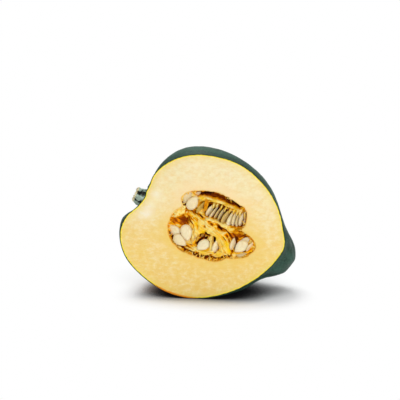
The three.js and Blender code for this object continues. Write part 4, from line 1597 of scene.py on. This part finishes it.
def floor_material(look):
    """Pale floor: near the half it shows its shading and a painted contact shadow, further out it is plain
    white to the eye.
    """
    shader = Surface("Floor")
    seen = shader.seen()
    spot = shader.stretch(shader.node("TexCoord").outputs["Object"], SHADOW_SHAPE)
    far = shader.between(shader.vector("LENGTH", spot, output="Value"), *SHADOW_REACH)
    share = shader.times(shader.scaled(far, SHADOW_SHARE, 1 - SHADOW_SHARE), seen)
    # Painted contact shadow from occlusion, in both the lit colour and the plain white.
    open_air = shader.node("AmbientOcclusion", {"Distance": CONTACT}, samples=8).outputs["AO"]
    open_air = shader.between(open_air, 0.3, 1.0)
    matt = shader.node("BsdfDiffuse", {"Color": shader.mix(open_air, CONTACT_SHADOW_TINT, look.floor)}).outputs[0]
    bright = shader.mix(open_air, CONTACT_SHADOW_TINT, (1, 1, 1, 1))
    white = shader.node("Emission", {"Color": bright, "Strength": 1.0}).outputs[0]
    shader.end(shader.node("MixShader", {0: share, 1: matt, 2: white}))
    return shader.material


def make_floor(look):
    half = FLOOR_SIZE / 2
    mesh = bpy.data.meshes.new("floor")
    corners = [(-half, -half, 0), (half, -half, 0), (half, half, 0), (-half, half, 0)]
    mesh.from_pydata(corners, [], [(0, 1, 2, 3)])
    mesh.materials.append(floor_material(look))
    add_object("floor", mesh)


def make_world(look):
    world = bpy.data.worlds.new("studio")
    world.use_nodes = True
    shader = Shader(world.node_tree)
    world.node_tree.nodes.clear()
    seen = shader.seen()
    lit = shader.node("Background", {"Color": (1, 1, 1), "Strength": look.ambient}).outputs[0]
    white = shader.node("Background", {"Color": (1, 1, 1), "Strength": 1.0}).outputs[0]
    mixed = shader.node("MixShader", {0: seen, 1: lit, 2: white}).outputs[0]
    shader.node("OutputWorld", {"Surface": mixed})
    bpy.context.scene.world = world


def aim(thing, place, target):
    """Puts a lamp or camera at a place and turns it to a target."""
    thing.location = place
    thing.rotation_euler = (target - thing.location).to_track_quat("-Z", "Y").to_euler()


def make_lamp(name, place, size, watts):
    """Square lamp that faces the middle of the half."""
    lamp = bpy.data.lights.new(name, "AREA")
    lamp.size = size
    lamp.energy = watts
    aim(add_object(name, lamp), Vector(place), LAMP_TARGET)


def make_camera(look):
    middle = Vector(to_row([0, 0, 0]))
    a, e = look.azimuth, look.elevation
    back = Vector((math.sin(a) * math.cos(e), -math.cos(a) * math.cos(e), math.sin(e)))
    right = Vector((math.cos(a), math.sin(a), 0))
    up = back.cross(right)
    camera = bpy.data.cameras.new("camera")
    camera.lens = look.lens
    camera.sensor_width = 36
    holder = add_object("camera", camera)
    aim(holder, middle + back * look.distance, middle + up * look.aim_up - right * look.aim_left)
    bpy.context.scene.camera = holder


# ---------------------------------------------------------------------------
# Operators


class MakeBody(bpy.types.Operator):
    """Make the rind, the cut flesh and the cavity wall"""

    bl_idname = "squash.make_body"
    bl_label = "Squash half"

    def execute(self, context):
        show(body_mesh(context.scene.squash_rind, context.scene.squash_flesh), "squash", "squash_half")
        return {"FINISHED"}


class MakePulp(bpy.types.Operator):
    """Make the pulp that fills the cavity"""

    bl_idname = "squash.make_pulp"
    bl_label = "Pulp"

    def execute(self, context):
        show(pulp_mesh(context.scene.squash_pulp), "pulp", "pulp")
        return {"FINISHED"}


class MakeFibres(bpy.types.Operator):
    """Make the wet fibres that run through and over the pulp"""

    bl_idname = "squash.make_fibres"
    bl_label = "Fibres"

    def execute(self, context):
        look = context.scene.squash_pulp
        values = {"Sides": look.fibre_sides, "Material": pulp_material("Fibre", look)}
        show(grown(fibre_points(look), fibre_tree(), values, "fibres"), "pulp")
        return {"FINISHED"}


class MakeFilms(bpy.types.Operator):
    """Make the thin films of pulp between the seeds"""

    bl_idname = "squash.make_films"
    bl_label = "Films"

    def execute(self, context):
        show(film_mesh(context.scene.squash_pulp), "pulp")
        return {"FINISHED"}


class MakeSeeds(bpy.types.Operator):
    """Make the seeds, one at each packed seed"""

    bl_idname = "squash.make_seeds"
    bl_label = "Seeds"

    def execute(self, context):
        look = context.scene.squash_seed
        template = add_object("seed_form", seed_template())
        values = {"Seed": template, "Unevenness": look.unevenness, "Material": seed_material(look)}
        mesh = grown(seed_points(), seed_tree(), values, "seeds")
        bpy.data.objects.remove(template)
        show(mesh, "seed", *seed_nodes())
        return {"FINISHED"}


class MakeStem(bpy.types.Operator):
    """Make the ridged stem with its torn end"""

    bl_idname = "squash.make_stem"
    bl_label = "Stem"

    def execute(self, context):
        show(stem_mesh(context.scene.squash_stem), "stem", "stem")
        return {"FINISHED"}


class MakeStage(bpy.types.Operator):
    """Make the floor, the lamps and the camera"""

    bl_idname = "squash.make_stage"
    bl_label = "Stage"

    def execute(self, context):
        look = context.scene.squash_stage
        make_floor(look)
        make_world(look)
        make_lamp("key", KEY_PLACE, KEY_SIZE, look.key_power)
        make_lamp("fill", FILL_PLACE, FILL_SIZE, look.fill_power)
        make_camera(look)
        context.scene.view_settings.view_transform = "Standard"
        return {"FINISHED"}


STEPS = (MakeBody, MakePulp, MakeFibres, MakeFilms, MakeSeeds, MakeStem, MakeStage)
LOOKS = {
    "squash_rind": RindLook, "squash_flesh": FleshLook, "squash_pulp": PulpLook,
    "squash_seed": SeedLook, "squash_stem": StemLook, "squash_stage": StageLook,
}


class SquashPanel(bpy.types.Panel):
    """Steps and sizes of the squash half"""

    bl_idname = "VIEW3D_PT_squash"
    bl_label = "Acorn Squash Half"
    bl_space_type = "VIEW_3D"
    bl_region_type = "UI"
    bl_category = "Squash"

    def draw(self, context):
        for step_class in STEPS:
            self.layout.operator(step_class.bl_idname)
        for key in LOOKS:
            look = getattr(context.scene, key)
            box = self.layout.box()
            for name in look.bl_rna.properties.keys():
                if name not in {"rna_type", "name"}:
                    box.prop(look, name)


def register():
    for item in (*LOOKS.values(), *STEPS, SquashPanel):
        bpy.utils.register_class(item)
    for key, kind in LOOKS.items():
        setattr(bpy.types.Scene, key, PointerProperty(type=kind))


def unregister():
    for key in LOOKS:
        delattr(bpy.types.Scene, key)
    for item in reversed((*LOOKS.values(), *STEPS, SquashPanel)):
        bpy.utils.unregister_class(item)


def main():
    register()
    for item in STEPS:
        group, name = item.bl_idname.split(".")
        getattr(getattr(bpy.ops, group), name)()


if __name__ == "__main__":
    main()
